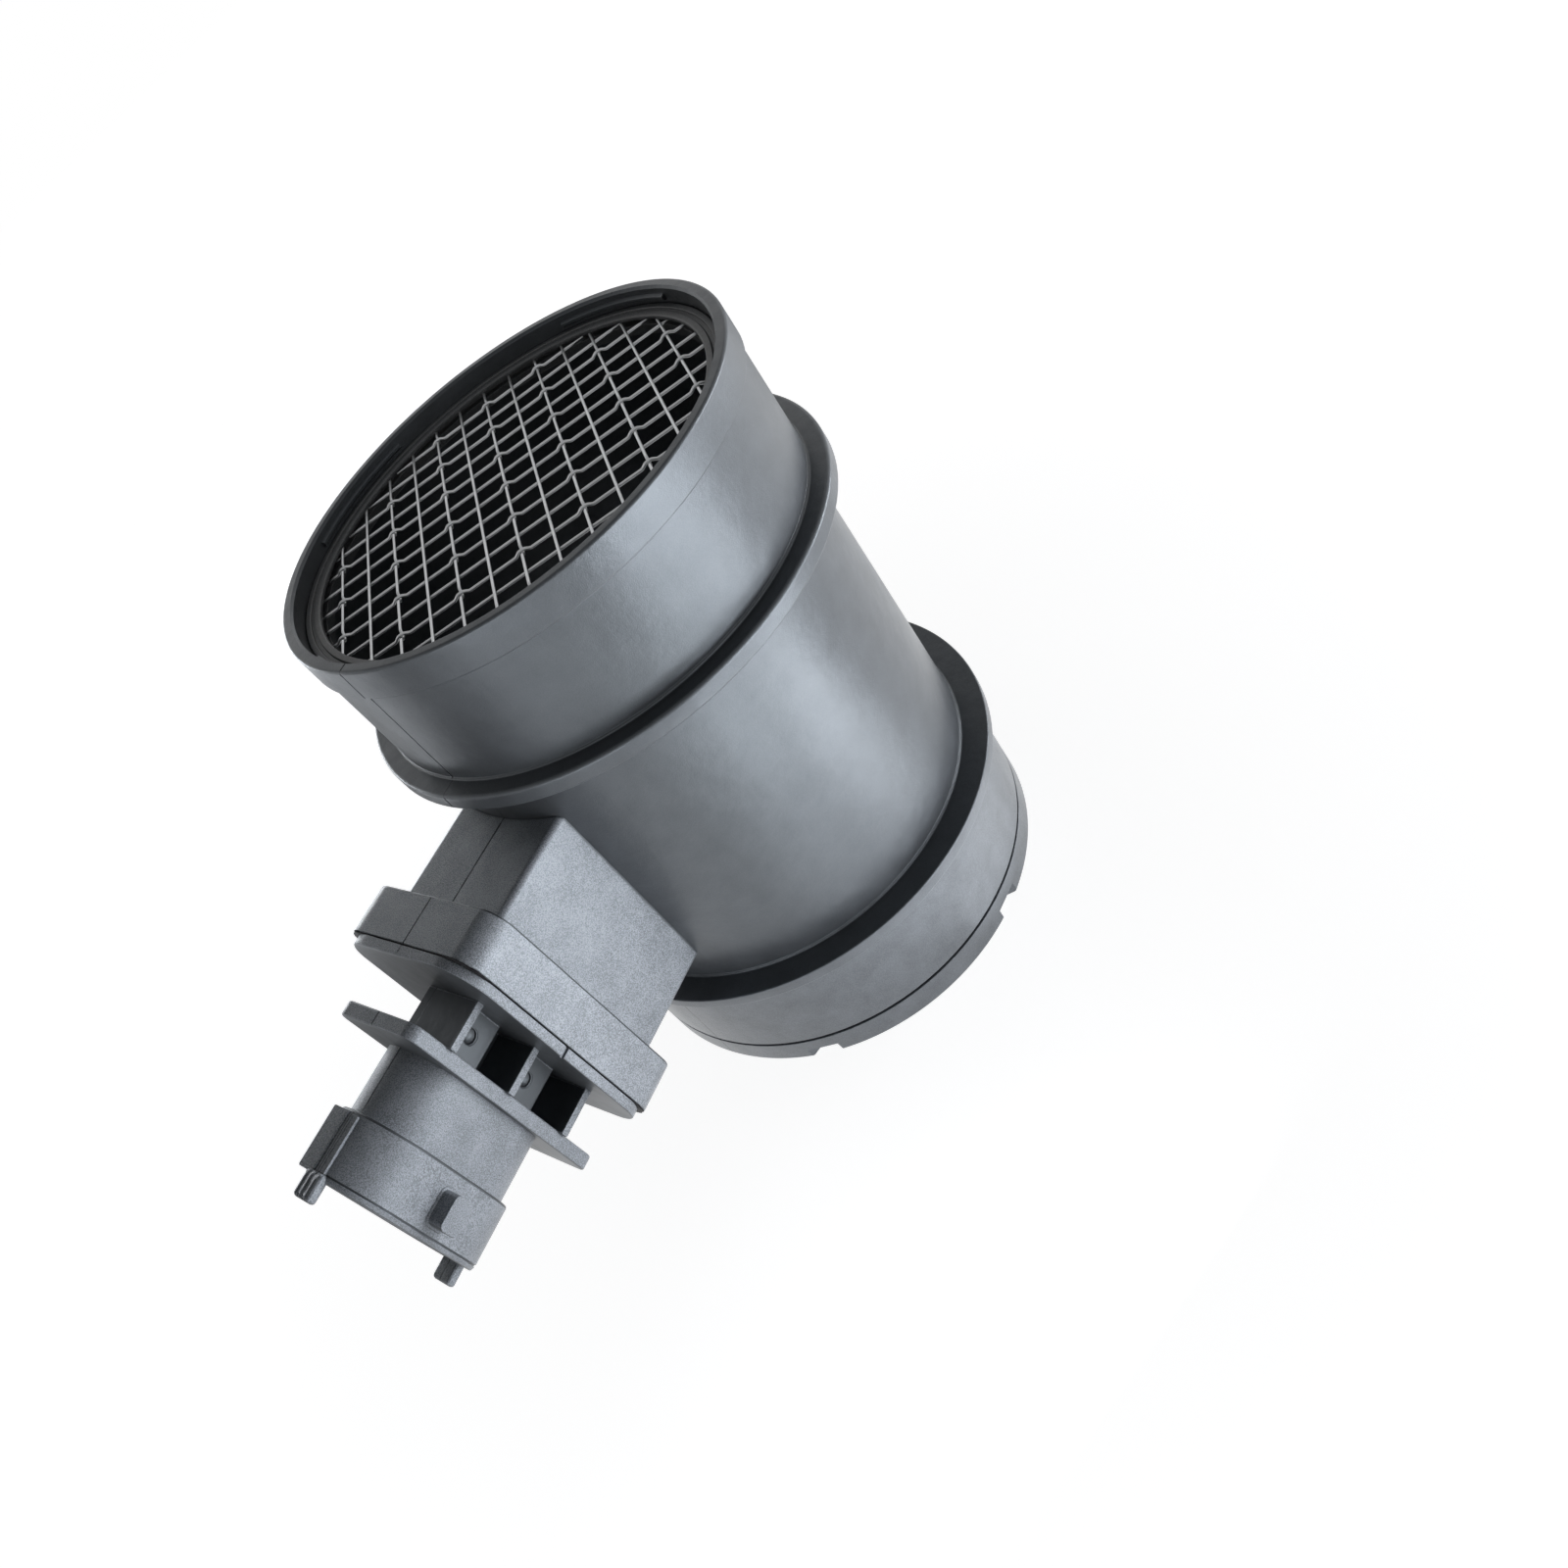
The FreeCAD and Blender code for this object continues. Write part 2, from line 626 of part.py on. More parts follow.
def connector(body):
    """The collar, the oval socket with its step, guides and latch nub, and its hollow."""
    slab(body, "collar", COLLAR_OUT, COLLAR_INNER, rounded_rectangle, "Size.collar_middle",
         "Size.collar_length", "Size.collar_width", "Size.collar_corner")
    slab(body, "socket_neck", STEP_OUT, COLLAR_OUT, stadium, "Size.socket_middle",
         "Size.socket_length", "Size.socket_width")
    slab(body, "socket_shroud", MOUTH_OUT, STEP_OUT, stadium, "Size.socket_middle",
         "(Size.socket_length + 2 * Size.socket_step)", "(Size.socket_width + 2 * Size.socket_step)")
    top = "(Size.socket_middle + Size.socket_length / 2 + Size.socket_step)"
    bottom = "(Size.socket_middle - Size.socket_length / 2 - Size.socket_step)"
    half_pad = "Size.pad_width / 2"
    half_guide = "Size.guide_width / 2"
    guide_end = f"({MOUTH_OUT} + Size.guide_reach)"
    guide_top = f"{top} + Size.guide_stand"
    slab(body, "guide_pad", f"({MOUTH_OUT} - Size.pad_stand)", STEP_OUT, polygon,
         box_corners(f"-({half_pad})", half_pad, f"{top} - Size.guide_thickness",
                     f"{top} + Size.pad_stand"))
    slab(body, "upper_guide", guide_end, STEP_OUT, polygon,
         box_corners(f"-({half_guide})", half_guide, f"{guide_top} - Size.guide_thickness", guide_top))
    slab(body, "lower_guide", guide_end, MOUTH_OUT, polygon,
         box_corners(f"-({half_guide})", half_guide, bottom, f"{bottom} + Size.guide_thickness"))
    slab(body, "socket_hollow", MOUTH_OUT, HOLLOW_OUT, stadium, "Size.socket_middle",
         "(Size.socket_length - 2 * Size.socket_wall)", "(Size.socket_width - 2 * Size.socket_wall)",
         kind="PartDesign::Pocket")
    latch_out = f"({MOUTH_OUT} - Size.latch_set_back)"
    half_shroud = "(Size.socket_width / 2 + Size.socket_step)"
    half_latch = "Size.latch_length / 2"
    latch = plate_between(body, "latch_nub", f"-({half_shroud} + Size.latch_rise)",
                          f"-({half_shroud} - Size.socket_step)",
                          box_corners(f"-{latch_out}", f"-({latch_out} - Size.latch_depth)",
                                      f"Size.socket_middle - {half_latch}",
                                      f"Size.socket_middle + {half_latch}"))
    doc.recompute()
    nub_side = -value(half_shroud)
    rim = upright_edges(latch.Shape, FreeCAD.Vector(0, 1, 0), lambda spot: spot.y < nub_side - 1)
    fillet(body, "latch_round", latch, rim, "Size.latch_round")


def finger(body):
    """The spigot with its seal groove, and the finger with its chamber and air channel."""
    spigot = (SPIGOT_LENGTH, SPIGOT_WIDTH, SPIGOT_CORNER)
    slab(body, "spigot", PLATE_INNER, "Size.spigot_end_out", rounded_rectangle,
         "Size.pedestal_middle", *spigot)
    slab(body, "finger", "Size.spigot_end_out", FINGER_TIP_OUT, rounded_rectangle,
         "Size.pedestal_middle", "Size.finger_height", "Size.finger_thickness",
         "Size.finger_nose_round")
    around = (f"{SPIGOT_LENGTH} + 2", f"{SPIGOT_WIDTH} + 2", SPIGOT_CORNER)
    slab(body, "seal_groove", "Size.seal_groove_out",
         "(Size.seal_groove_out - Size.seal_groove_width)", ring_outline,
         "Size.pedestal_middle", around, groove_floor(), kind="PartDesign::Pocket")
    side = f"(-{FINGER_SIDE})"
    under_cover = f"(-{FINGER_SIDE} + Size.cover_thickness)"
    side_pocket(body, "chamber_rebate", side, under_cover, chamber_corners("Size.cover_lap"))
    side_pocket(body, "chamber", side, CHAMBER_FLOOR, chamber_corners("0"))
    side_pocket(body, "channel_rebate", side, under_cover, channel_cover_corners())
    side_pocket(body, "channel", side, f"{side} + Size.channel_depth", channel_corners())
    slot_half = "(Size.holder_height / 2 + Size.holder_side_gap)"
    side_pocket(body, "holder_slot", under_cover, BOARD_FACE,
                box_corners(f"-{CHAMBER_END_OUT}", CHANNEL_NEAR,
                            f"Size.pedestal_middle - {slot_half}",
                            f"Size.pedestal_middle + {slot_half}"))


def groove_floor():
    """The rounded rectangle at the bottom of the seal's groove."""
    depth = "Size.seal_groove_depth"
    return (f"({SPIGOT_LENGTH} - 2 * {depth})", f"({SPIGOT_WIDTH} - 2 * {depth})",
            f"({SPIGOT_CORNER} - {depth})")


def chamber_corners(lap):
    half = f"(Size.chamber_height / 2 + {lap})"
    return box_corners(f"-(Size.chamber_out + {lap})", f"-({CHAMBER_END_OUT} - {lap})",
                       f"Size.pedestal_middle - {half}", f"Size.pedestal_middle + {half}")


def channel_cover_corners():
    """The cover of the air channel starts beside the cover of the electronics chamber."""
    half = "(Size.chamber_height / 2 + Size.cover_lap)"
    start = f"-({CHAMBER_END_OUT} - 1.5 * Size.cover_lap)"
    return box_corners(start, f"{CHANNEL_END} + Size.cover_lap",
                       f"Size.pedestal_middle - {half}", f"Size.pedestal_middle + {half}")


def channel_corners():
    """The air channel: in at the top, past the chip, across, and out at the bottom."""
    over = "Size.finger_height"
    turn_floor = "(Size.pedestal_middle - Size.chamber_height / 2 + Size.cover_lap)"
    turn_roof = f"({turn_floor} + Size.channel_turn_width)"
    return [
        (CHANNEL_NEAR, f"Size.pedestal_middle + {over}"),
        (CHANNEL_NEAR, turn_roof),
        ("-Size.channel_out", turn_roof),
        ("-Size.channel_out", f"Size.pedestal_middle - {over}"),
        ("-Size.channel_out + Size.channel_outlet_width", f"Size.pedestal_middle - {over}"),
        ("-Size.channel_out + Size.channel_outlet_width", turn_floor),
        (CHANNEL_END, turn_floor),
        (CHANNEL_END, f"Size.pedestal_middle + {over}"),
    ]


def terminal_height(index):
    """Height of a terminal's middle, counted from the lowest one."""
    return f"(Size.socket_middle + ({index} - (Size.terminal_count - 1) / 2) * Size.terminal_pitch)"


def terminal_outlines(sketch):
    half = "Size.terminal_width / 2"
    thickness = "Size.terminal_thickness / 2"
    for index in range(int(value("Size.terminal_count"))):
        middle = terminal_height(index)
        polygon(sketch, box_corners(f"-({thickness})", thickness,
                                    f"{middle} - {half}", f"{middle} + {half}"))


def lead_hole_outlines(sketch):
    for index, side in enumerate((1, -1)):
        across = f"-(Size.lead_out + ({side}) * Size.lead_pitch / 2)"
        centre = FreeCAD.Vector(value(across), value(LEAD_PLANE), 0)
        circle = Part.Circle(centre, FreeCAD.Vector(0, 0, 1), value("Size.lead_radius"))
        sketch.addGeometry(circle, False)
        bind(sketch, "Radius", (index,), "Size.lead_radius")
        bind(sketch, "DistanceX", (-1, 1, index, 3), across)
        bind(sketch, "DistanceY", (-1, 1, index, 3), LEAD_PLANE)


def sensor_body():
    """The module's moulding: plate, ribbed neck, collar, connector, spigot and finger."""
    body = new_body("sensor_body")
    slab(body, "plate", PLATE_OUT, PLATE_INNER, rounded_rectangle, "Size.pedestal_middle",
         BAND_LENGTH, BAND_WIDTH, "Size.plate_corner")
    neck(body)
    connector(body)
    finger(body)
    slab(body, "terminal_holes", HOLLOW_OUT, "(Size.chamber_out - Size.terminal_on_board)",
         terminal_outlines, kind="PartDesign::Pocket")
    sketch = sketch_on(body, "lead_holes_outline", "XY_Plane", FINGER_TOP)
    lead_hole_outlines(sketch)
    extrude(body, "lead_holes", sketch, f"{FINGER_TOP} - {CHAMBER_TOP}", "PartDesign::Pocket", False)
    return body


def sealant_bead():
    """The thin bead that bonds the plate to the pedestal's band."""
    body = new_body("sealant_bead")
    inset = "Size.sealant_inset"
    inner_inset = "(Size.sealant_inset + Size.sealant_width)"
    outer = (f"({BAND_LENGTH} - 2 * {inset})", f"({BAND_WIDTH} - 2 * {inset})",
             f"(Size.band_corner - {inset})")
    inner = (f"({BAND_LENGTH} - 2 * {inner_inset})", f"({BAND_WIDTH} - 2 * {inner_inset})",
             f"(Size.band_corner - {inner_inset})")
    slab(body, "bead", PLATE_INNER, "Size.band_face_out", ring_outline,
         "Size.pedestal_middle", outer, inner)
    return body


def finger_seal():
    """The rubber seal that sits in the spigot's groove and presses on the window's wall."""
    body = new_body("finger_seal")
    play = "(Size.seal_groove_width - Size.seal_width) / 2"
    outer = f"(Size.seal_groove_out - {play})"
    window = ("Size.window_length", "Size.window_width", "Size.window_corner")
    slab(body, "seal", outer, f"({outer} - Size.seal_width)", ring_outline,
         "Size.pedestal_middle", window, groove_floor())
    return body


def flat_piece(label, low_y, high_y, corners):
    body = new_body(label)
    plate_between(body, f"{label}_sheet", low_y, high_y, corners)
    return body


def electronics():
    """What the finger's chamber and channel hold, and the two covers that close them."""
    side = f"(-{FINGER_SIDE})"
    under_cover = f"(-{FINGER_SIDE} + Size.cover_thickness)"
    middle = "Size.pedestal_middle"
    board_half = "(Size.chamber_height / 2 - Size.board_margin)"
    board = box_corners("-(Size.chamber_out - Size.board_margin)",
                        f"-({CHAMBER_END_OUT} + Size.board_margin)",
                        f"{middle} - {board_half}", f"{middle} + {board_half}")
    holder_half = "Size.holder_height / 2"
    holder_end = f"({CHANNEL_END} - Size.holder_end_gap)"
    holder = box_corners(f"-({CHAMBER_END_OUT} + Size.holder_on_board)", holder_end,
                         f"{middle} - {holder_half}", f"{middle} + {holder_half}")
    holder_face = f"({BOARD_FACE} - Size.holder_thickness)"
    chip_end = f"({holder_end} - Size.holder_end_gap / 2)"
    chip = box_corners(f"{chip_end} - Size.chip_length", chip_end,
                       f"{middle} - Size.chip_height / 2", f"{middle} + Size.chip_height / 2")
    signal_start = "-(Size.chamber_out - Size.terminal_on_board - Size.signal_chip_gap)"
    signal_half = "Size.signal_chip_size / 2"
    signal = box_corners(signal_start, f"{signal_start} + Size.signal_chip_size",
                         f"{middle} - {signal_half}", f"{middle} + {signal_half}")
    return [
        flat_piece("carrier_plate", BOARD_BACK, CHAMBER_FLOOR, board),
        flat_piece("circuit_board", BOARD_FACE, BOARD_BACK, board),
        flat_piece("chip_holder", holder_face, BOARD_FACE, holder),
        flat_piece("sensing_chip", f"{holder_face} - Size.chip_thickness", holder_face, chip),
        flat_piece("signal_chip", f"{BOARD_FACE} - Size.signal_chip_thickness", BOARD_FACE, signal),
        flat_piece("electronics_cover", side, under_cover, chamber_corners("Size.cover_lap")),
        flat_piece("channel_cover", side, under_cover, channel_cover_corners()),
    ]


def terminals():
    """Flat pins with tapered tips, from the socket's hollow to the circuit board."""
    tip = f"-({HOLLOW_OUT} + Size.terminal_reach)"
    shoulder = f"{tip} + Size.terminal_tip"
    inner_end = "-(Size.chamber_out - Size.terminal_on_board)"
    half = "Size.terminal_width / 2"
    half_tip = "Size.terminal_width / 4"
    pieces = []
    for index in range(int(value("Size.terminal_count"))):
        middle = terminal_height(index)
        corners = [
            (tip, f"{middle} - {half_tip}"),
            (shoulder, f"{middle} - {half}"),
            (inner_end, f"{middle} - {half}"),
            (inner_end, f"{middle} + {half}"),
            (shoulder, f"{middle} + {half}"),
            (tip, f"{middle} + {half_tip}"),
        ]
        pieces.append(flat_piece(f"terminal_{index + 1}", "-(Size.terminal_thickness / 2)",
                                 BOARD_FACE, corners))
    return pieces


def thermistor():
    """The air temperature bead, a small body on the finger's upstream side."""
    body = new_body("thermistor")
    start = "-(Size.lead_out + Size.thermistor_length / 2)"
    sketch = sketch_on(body, "thermistor_outline", "YZ_Plane", start)
    centre = FreeCAD.Vector(value(LEAD_PLANE), value(LEAD_TOP), 0)
    circle = Part.Circle(centre, FreeCAD.Vector(0, 0, 1), value("Size.thermistor_radius"))
    sketch.addGeometry(circle, False)
    bind(sketch, "Radius", (0,), "Size.thermistor_radius")
    bind(sketch, "DistanceX", (-1, 1, 0, 3), LEAD_PLANE)
    bind(sketch, "DistanceY", (-1, 1, 0, 3), LEAD_TOP)
    extrude(body, "bead", sketch, "Size.thermistor_length", "PartDesign::Pad", False)
    return body


def thermistor_lead(label, side):
    """A bent wire that carries the bead: up out of the finger, then along to the bead."""
    foot = -(value("Size.lead_out") + side * value("Size.lead_pitch") / 2)
    end = -(value("Size.lead_out") + side * value("Size.thermistor_length") / 2)
    bend = value("Size.lead_bend")
    top = value(LEAD_TOP)
    path = [
        (foot, value(CHAMBER_TOP) - value("Size.lead_inside")),
        (foot, top - bend),
        (foot + side * bend, top),
        (end, top),
    ]
    wire = swept_wire(label, path, value("Size.lead_radius"))
    wire.Placement = FreeCAD.Placement(FreeCAD.Vector(0, value(LEAD_PLANE), 0), FreeCAD.Rotation())
    return wire


def build():
    pieces = [tube_housing(), screen_ring()]
    pieces += screen_wires()
    pieces += [sensor_body(), sealant_bead(), finger_seal()]
    pieces += electronics()
    pieces += terminals()
    pieces += [
        thermistor(),
        thermistor_lead("thermistor_lead_1", 1),
        thermistor_lead("thermistor_lead_2", -1),
    ]
    doc.recompute()
    return pieces


def check(pieces):
    """Stop if any object failed, or any piece isn't one valid solid."""
    failed = [item.Name for item in doc.Objects if {"Invalid", "Error"} & set(item.State)]
    if failed:
        raise RuntimeError(f"failed objects: {failed}")
    for piece in pieces:
        shape = piece.Shape
        if shape.isNull() or not shape.isValid() or len(shape.Solids) != 1:
            raise RuntimeError(f"{piece.Label} is not one valid solid")


def export(pieces):
    os.makedirs("parts", exist_ok=True)
    for piece in pieces:
        piece.Shape.exportStep(f"parts/{piece.Label}.step")


pieces = build()
check(pieces)
export(pieces)
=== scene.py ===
import math

import bmesh
import bpy
from mathutils import Matrix, Vector, noise

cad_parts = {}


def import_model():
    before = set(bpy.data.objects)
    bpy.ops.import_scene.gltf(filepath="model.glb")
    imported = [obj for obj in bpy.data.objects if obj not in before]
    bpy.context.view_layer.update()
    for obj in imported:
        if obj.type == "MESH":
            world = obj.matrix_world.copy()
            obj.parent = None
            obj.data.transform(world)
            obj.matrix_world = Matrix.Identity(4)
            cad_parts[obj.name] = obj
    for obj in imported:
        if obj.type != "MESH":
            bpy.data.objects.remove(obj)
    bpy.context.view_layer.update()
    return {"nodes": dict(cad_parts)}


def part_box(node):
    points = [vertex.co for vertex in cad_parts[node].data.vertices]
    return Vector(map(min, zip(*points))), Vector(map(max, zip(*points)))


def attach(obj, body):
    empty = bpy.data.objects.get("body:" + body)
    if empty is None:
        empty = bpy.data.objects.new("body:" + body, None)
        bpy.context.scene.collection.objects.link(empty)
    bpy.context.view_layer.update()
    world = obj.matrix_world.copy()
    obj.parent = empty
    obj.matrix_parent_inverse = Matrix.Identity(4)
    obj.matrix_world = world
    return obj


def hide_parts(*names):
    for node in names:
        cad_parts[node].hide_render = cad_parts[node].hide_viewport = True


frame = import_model()
NODES = frame["nodes"]
MM = 0.001

# Sizes of the part in millimetres, as in its CAD source. OUT is a distance from the duct's axis
# along -X. An outline is the middle's height, the length, the width and the corners' radius.
LENGTH = 113
OUTLET_RADIUS = 42.5
LOWER_FLANGE_FOOT = 24.5
LOWER_FLANGE_TOP = 26.9
LOWER_FLANGE_RADIUS = 45.3
BARREL_RADIUS = 40.3
UPPER_FLANGE_FOOT = 83.9
UPPER_FLANGE_TOP = 87.1
UPPER_FLANGE_RADIUS = 44.9
INLET_RADIUS = 41.4
COLLAR_FOOT = 107.0
RIM_RADIUS = 42.0
OUTLET_BORE_RADIUS = 39.6
BORE_RADIUS = 38.3
SEAT_RADIUS = 39.9
SEAT_LEVEL = 106.2
MIDDLE = 54.5
PEDESTAL_OUTLINE = (MIDDLE, 41.3, 24.4, 1.2)
BAND_OUTLINE = (MIDDLE, 48.9, 32.0, 4.2)
BAND_OUT = 66.0
PLATE_OUTLINE = (MIDDLE, 48.9, 32.0, 7.0)
PLATE_OUT = 68.0
NECK_TOP = 69.2
NECK_HALF_WIDTH = 10.3
NECK_PITCH = 14.1
NECK_WALL = 1.5
COLLAR_OUTLINE = (53.4, 45.3, 19.0, 2.2)
SOCKET_MIDDLE = 54.0
SOCKET_OUTLINE = (SOCKET_MIDDLE, 32.8, 18.4, 9.2)
PIN_COUNT = 5
PIN_PITCH = 4.5
NOTCH_COUNT = 6
NOTCH_START = -92
BEAD_COUNT = 4
BEAD_SPAN = 36
WIRE_LEVEL = 108.6
WIRE_RADIUS = 0.25
WIRE_RISE = 0.26
WIRE_PITCH = 5.47
WIRE_REACH = 38.2
WARP_TURN = 45.8
WEFT_TURN = 135.8
WEFT_SHIFT = -0.6
CRIMP_HALF = 1.45
CRIMP_SLOPE = 1.15
RING_INNER = 36.8
PROBE_MIDDLE = (-26, 0.05, 73)


# ---------------------------------------------------------------- mesh tools

def link(name, mesh):
    piece = bpy.data.objects.new(name, mesh)
    bpy.context.scene.collection.objects.link(piece)
    return piece


def mesh_object(name, points, faces):
    """An object from points in millimetres, with its normals turned outward."""
    work = bmesh.new()
    spots = [work.verts.new([c * MM for c in point]) for point in points]
    for face in faces:
        work.faces.new([spots[index] for index in face])
    bmesh.ops.recalc_face_normals(work, faces=work.faces)
    mesh = bpy.data.meshes.new(name)
    work.to_mesh(mesh)
    work.free()
    return link(name, mesh)


def loft(name, sections, ring=False):
    """A skin over sections of equal point count, capped at its ends or closed to a ring."""
    count = len(sections[0])
    points = [point for section in sections for point in section]
    faces = []
    for index in range(len(sections) - (0 if ring else 1)):
        low = index * count
        high = (index + 1) % len(sections) * count
        for step in range(count):
            following = (step + 1) % count
            faces.append((low + step, low + following, high + following, high + step))
    if not ring:
        faces.append(tuple(range(count)))
        faces.append(tuple(range(len(points) - count, len(points))))
    return mesh_object(name, points, faces)


def rounded(corners, closed=False, segments=4):
    """A path of (a, b, radius) corners with each corner rounded to its radius."""
    path = []
    count = len(corners)
    for index, (a, b, radius) in enumerate(corners):
        inner = closed or 0 < index < count - 1
        if not radius or not inner:
            path.append((a, b))
            continue
        here = Vector((a, b))
        before = (Vector(corners[index - 1][:2]) - here).normalized()
        after = (Vector(corners[(index + 1) % count][:2]) - here).normalized()
        half = before.angle(after) / 2
        reach = radius / math.tan(half)
        centre = here + (before + after).normalized() * (radius / math.sin(half))
        start = here + before * reach - centre
        finish = here + after * reach - centre
        turn = start.angle_signed(finish)
        for step in range(segments + 1):
            spoke = start.copy()
            spoke.rotate(Matrix.Rotation(-turn * step / segments, 2))
            path.append(tuple(centre + spoke))
    return path


def circle(radius, height, steps=256):
    return [(radius * math.cos(math.tau * step / steps), radius * math.sin(math.tau * step / steps),
             height) for step in range(steps)]


def turned_solid(name, corners):
    """A solid of revolution about Z, from its foot to its top."""
    return loft(name, [circle(radius, height) for radius, height in rounded(corners)])


def turned_ring(name, corners, steps=256, start=0.0, span=360.0):
    """A closed outline of (radius, height, round) corners turned about Z."""
    outline = rounded(corners, closed=True)
    whole = span == 360.0
    sections = []
    for step in range(steps if whole else steps + 1):
        angle = math.radians(start + span * step / steps)
        sections.append([(radius * math.cos(angle), radius * math.sin(angle), height)
                         for radius, height in outline])
    return loft(name, sections, ring=whole)


def oval(out, middle, length, width, corner, inset=0.0, per_corner=10):
    """A rounded rectangle in the plane x = -out, drawn smaller by inset."""
    corner = max(corner - inset, 0.05)
    half_y = width / 2 - inset - corner
    half_z = length / 2 - inset - corner
    points = []
    for quarter, (y, z) in enumerate(((half_y, half_z), (-half_y, half_z),
                                      (-half_y, -half_z), (half_y, -half_z))):
        for step in range(per_corner + 1):
            angle = math.radians(90 * (quarter + step / per_corner))
            points.append((-out, y + corner * math.cos(angle),
                           middle + z + corner * math.sin(angle)))
    return points


def prism(name, shape, stations, per_corner=10):
    """A body along X with an oval outline. Stations are (out, inset, round)."""
    sections = [oval(out, *shape, inset, per_corner) for out, inset in rounded(stations)]
    return loft(name, sections)


def block(name, x, y, z, edge=0.2, segments=2):
    """A box between three pairs of limits, with rounded edges."""
    points = [(a, b, c) for a in x for b in y for c in z]
    faces = [(0, 1, 3, 2), (4, 6, 7, 5), (0, 4, 5, 1), (2, 3, 7, 6), (0, 2, 6, 4), (1, 5, 7, 3)]
    piece = mesh_object(name, points, faces)
    if edge:
        work = bmesh.new()
        work.from_mesh(piece.data)
        bmesh.ops.bevel(work, geom=work.edges[:], offset=edge * MM, segments=segments,
                        profile=0.5, affect="EDGES")
        work.to_mesh(piece.data)
        work.free()
    return piece


def side_cut(name, corners, low_y, high_y):
    """A plate of given XZ corners between two values of Y."""
    return loft(name, [[(x, y, z) for x, z in corners] for y in (low_y, high_y)])


def box_corners(low_x, high_x, low_z, high_z):
    return [(low_x, low_z), (high_x, low_z), (high_x, high_z), (low_x, high_z)]


def applied(piece):
    """Turn a piece's modifiers into its mesh."""
    bpy.context.view_layer.update()
    graph = bpy.context.evaluated_depsgraph_get()
    mesh = bpy.data.meshes.new_from_object(piece.evaluated_get(graph))
    piece.modifiers.clear()
    piece.data = mesh
    return piece


def combine(piece, others, operation):
    for other in others:
        modifier = piece.modifiers.new("combine", "BOOLEAN")
        modifier.operation = operation
        modifier.solver = "EXACT"
        modifier.object = other
    applied(piece)
    for other in others:
        bpy.data.objects.remove(other)
    return piece


def smooth(piece, angle=28.0):
    """Smooth shading that keeps flat faces flat and creases sharp."""
    piece.data.shade_smooth()
    piece.data.set_sharp_from_angle(angle=math.radians(angle))
    modifier = piece.modifiers.new("flat_faces", "WEIGHTED_NORMAL")
    modifier.keep_sharp = True
    modifier.weight = 80
    return applied(piece)


def tube(name, path, side, radius, sides=12):
    """A round wire along a plane path of 3-D points; side is the plane's normal."""
    side = Vector(side).normalized()
    path = [Vector(point) for point in path]
    sections = []
    for index, spot in enumerate(path):
        ahead = path[min(index + 1, len(path) - 1)] - path[max(index - 1, 0)]
        across = ahead.normalized().cross(side)
        sections.append([spot + side * (radius * math.cos(math.tau * step / sides))
                         + across * (radius * math.sin(math.tau * step / sides))
                         for step in range(sides)])
    return loft(name, sections)


# ----------------------------------------------------------------- materials

# Lengths in metres and texture scales per metre, as the shaders read them.
CLOUD_SCALE = 38.0
GRAIN_SCALE = 5600.0
MOTTLE_SCALE = 210.0
RIPPLE_SCALE = 260.0
SEAM_AND_SHADE_TONE = (0.004, 0.004, 0.005)
GLOSS_TINT = (0.84, 0.925, 1.0, 1)
OUTER_SKIN = 0.0408        # radius outside which the painted shade lines show


def add_node(tree, kind, inputs=None, **settings):
    """A shader node, with sockets or numbers for its inputs."""
    node = tree.nodes.new(kind)
    for key, setting in settings.items():
        setattr(node, key, setting)
    for key, source in (inputs or {}).items():
        if isinstance(source, bpy.types.NodeSocket):
            tree.links.new(source, node.inputs[key])
        else:
            node.inputs[key].default_value = source
    return node


def maths(tree, operation, first, second=0.0):
    return add_node(tree, "ShaderNodeMath", {0: first, 1: second}, operation=operation).outputs[0]


def spread(tree, source, low, high, to_low, to_high):
    """A value moved from one range to another and held within it."""
    inputs = {"Value": source, "From Min": low, "From Max": high,
              "To Min": to_low, "To Max": to_high}
    return add_node(tree, "ShaderNodeMapRange", inputs).outputs[0]


def texture(tree, place, scale, detail=2.0, rough=0.5):
    inputs = {"Vector": place, "Scale": scale, "Detail": detail, "Roughness": rough}
    return add_node(tree, "ShaderNodeTexNoise", inputs).outputs["Fac"]


def tint(tree, factor, low, high):
    """A colour between two, each three numbers."""
    ramp = add_node(tree, "ShaderNodeValToRGB", {"Fac": factor})
    ramp.color_ramp.elements[0].color = (*low, 1)
    ramp.color_ramp.elements[1].color = (*high, 1)
    return ramp.outputs["Color"]


def new_material(name, metallic=0.0, specular=0.8):
    """A material with its tree, its shader and the object's coordinates."""
    material = bpy.data.materials.new(name)
    material.use_nodes = True
    tree = material.node_tree
    tree.nodes.clear()
    shader = add_node(tree, "ShaderNodeBsdfPrincipled", {"Metallic": metallic})
    shader.inputs["Specular IOR Level"].default_value = specular
    output = add_node(tree, "ShaderNodeOutputMaterial")
    tree.links.new(shader.outputs[0], output.inputs["Surface"])
    place = add_node(tree, "ShaderNodeTexCoord").outputs["Object"]
    return material, tree, shader, place


def parting_line(tree, place, least_reach):
    """1 on the mould's parting line, the plane y = 0, beyond a distance along X. Else 0."""
    parts = add_node(tree, "ShaderNodeSeparateXYZ", {0: place}).outputs
    wander = spread(tree, texture(tree, place, 60.0), 0.3, 0.7, -0.00005, 0.00005)
    away = maths(tree, "ABSOLUTE", maths(tree, "ADD", parts["Y"], wander))
    width = spread(tree, texture(tree, place, 420.0), 0.35, 0.6, 0.00011, 0.00020)
    line = maths(tree, "LESS_THAN", away, width)
    outside = maths(tree, "GREATER_THAN", maths(tree, "ABSOLUTE", parts["X"]), least_reach)
    return maths(tree, "MULTIPLY", line, outside)


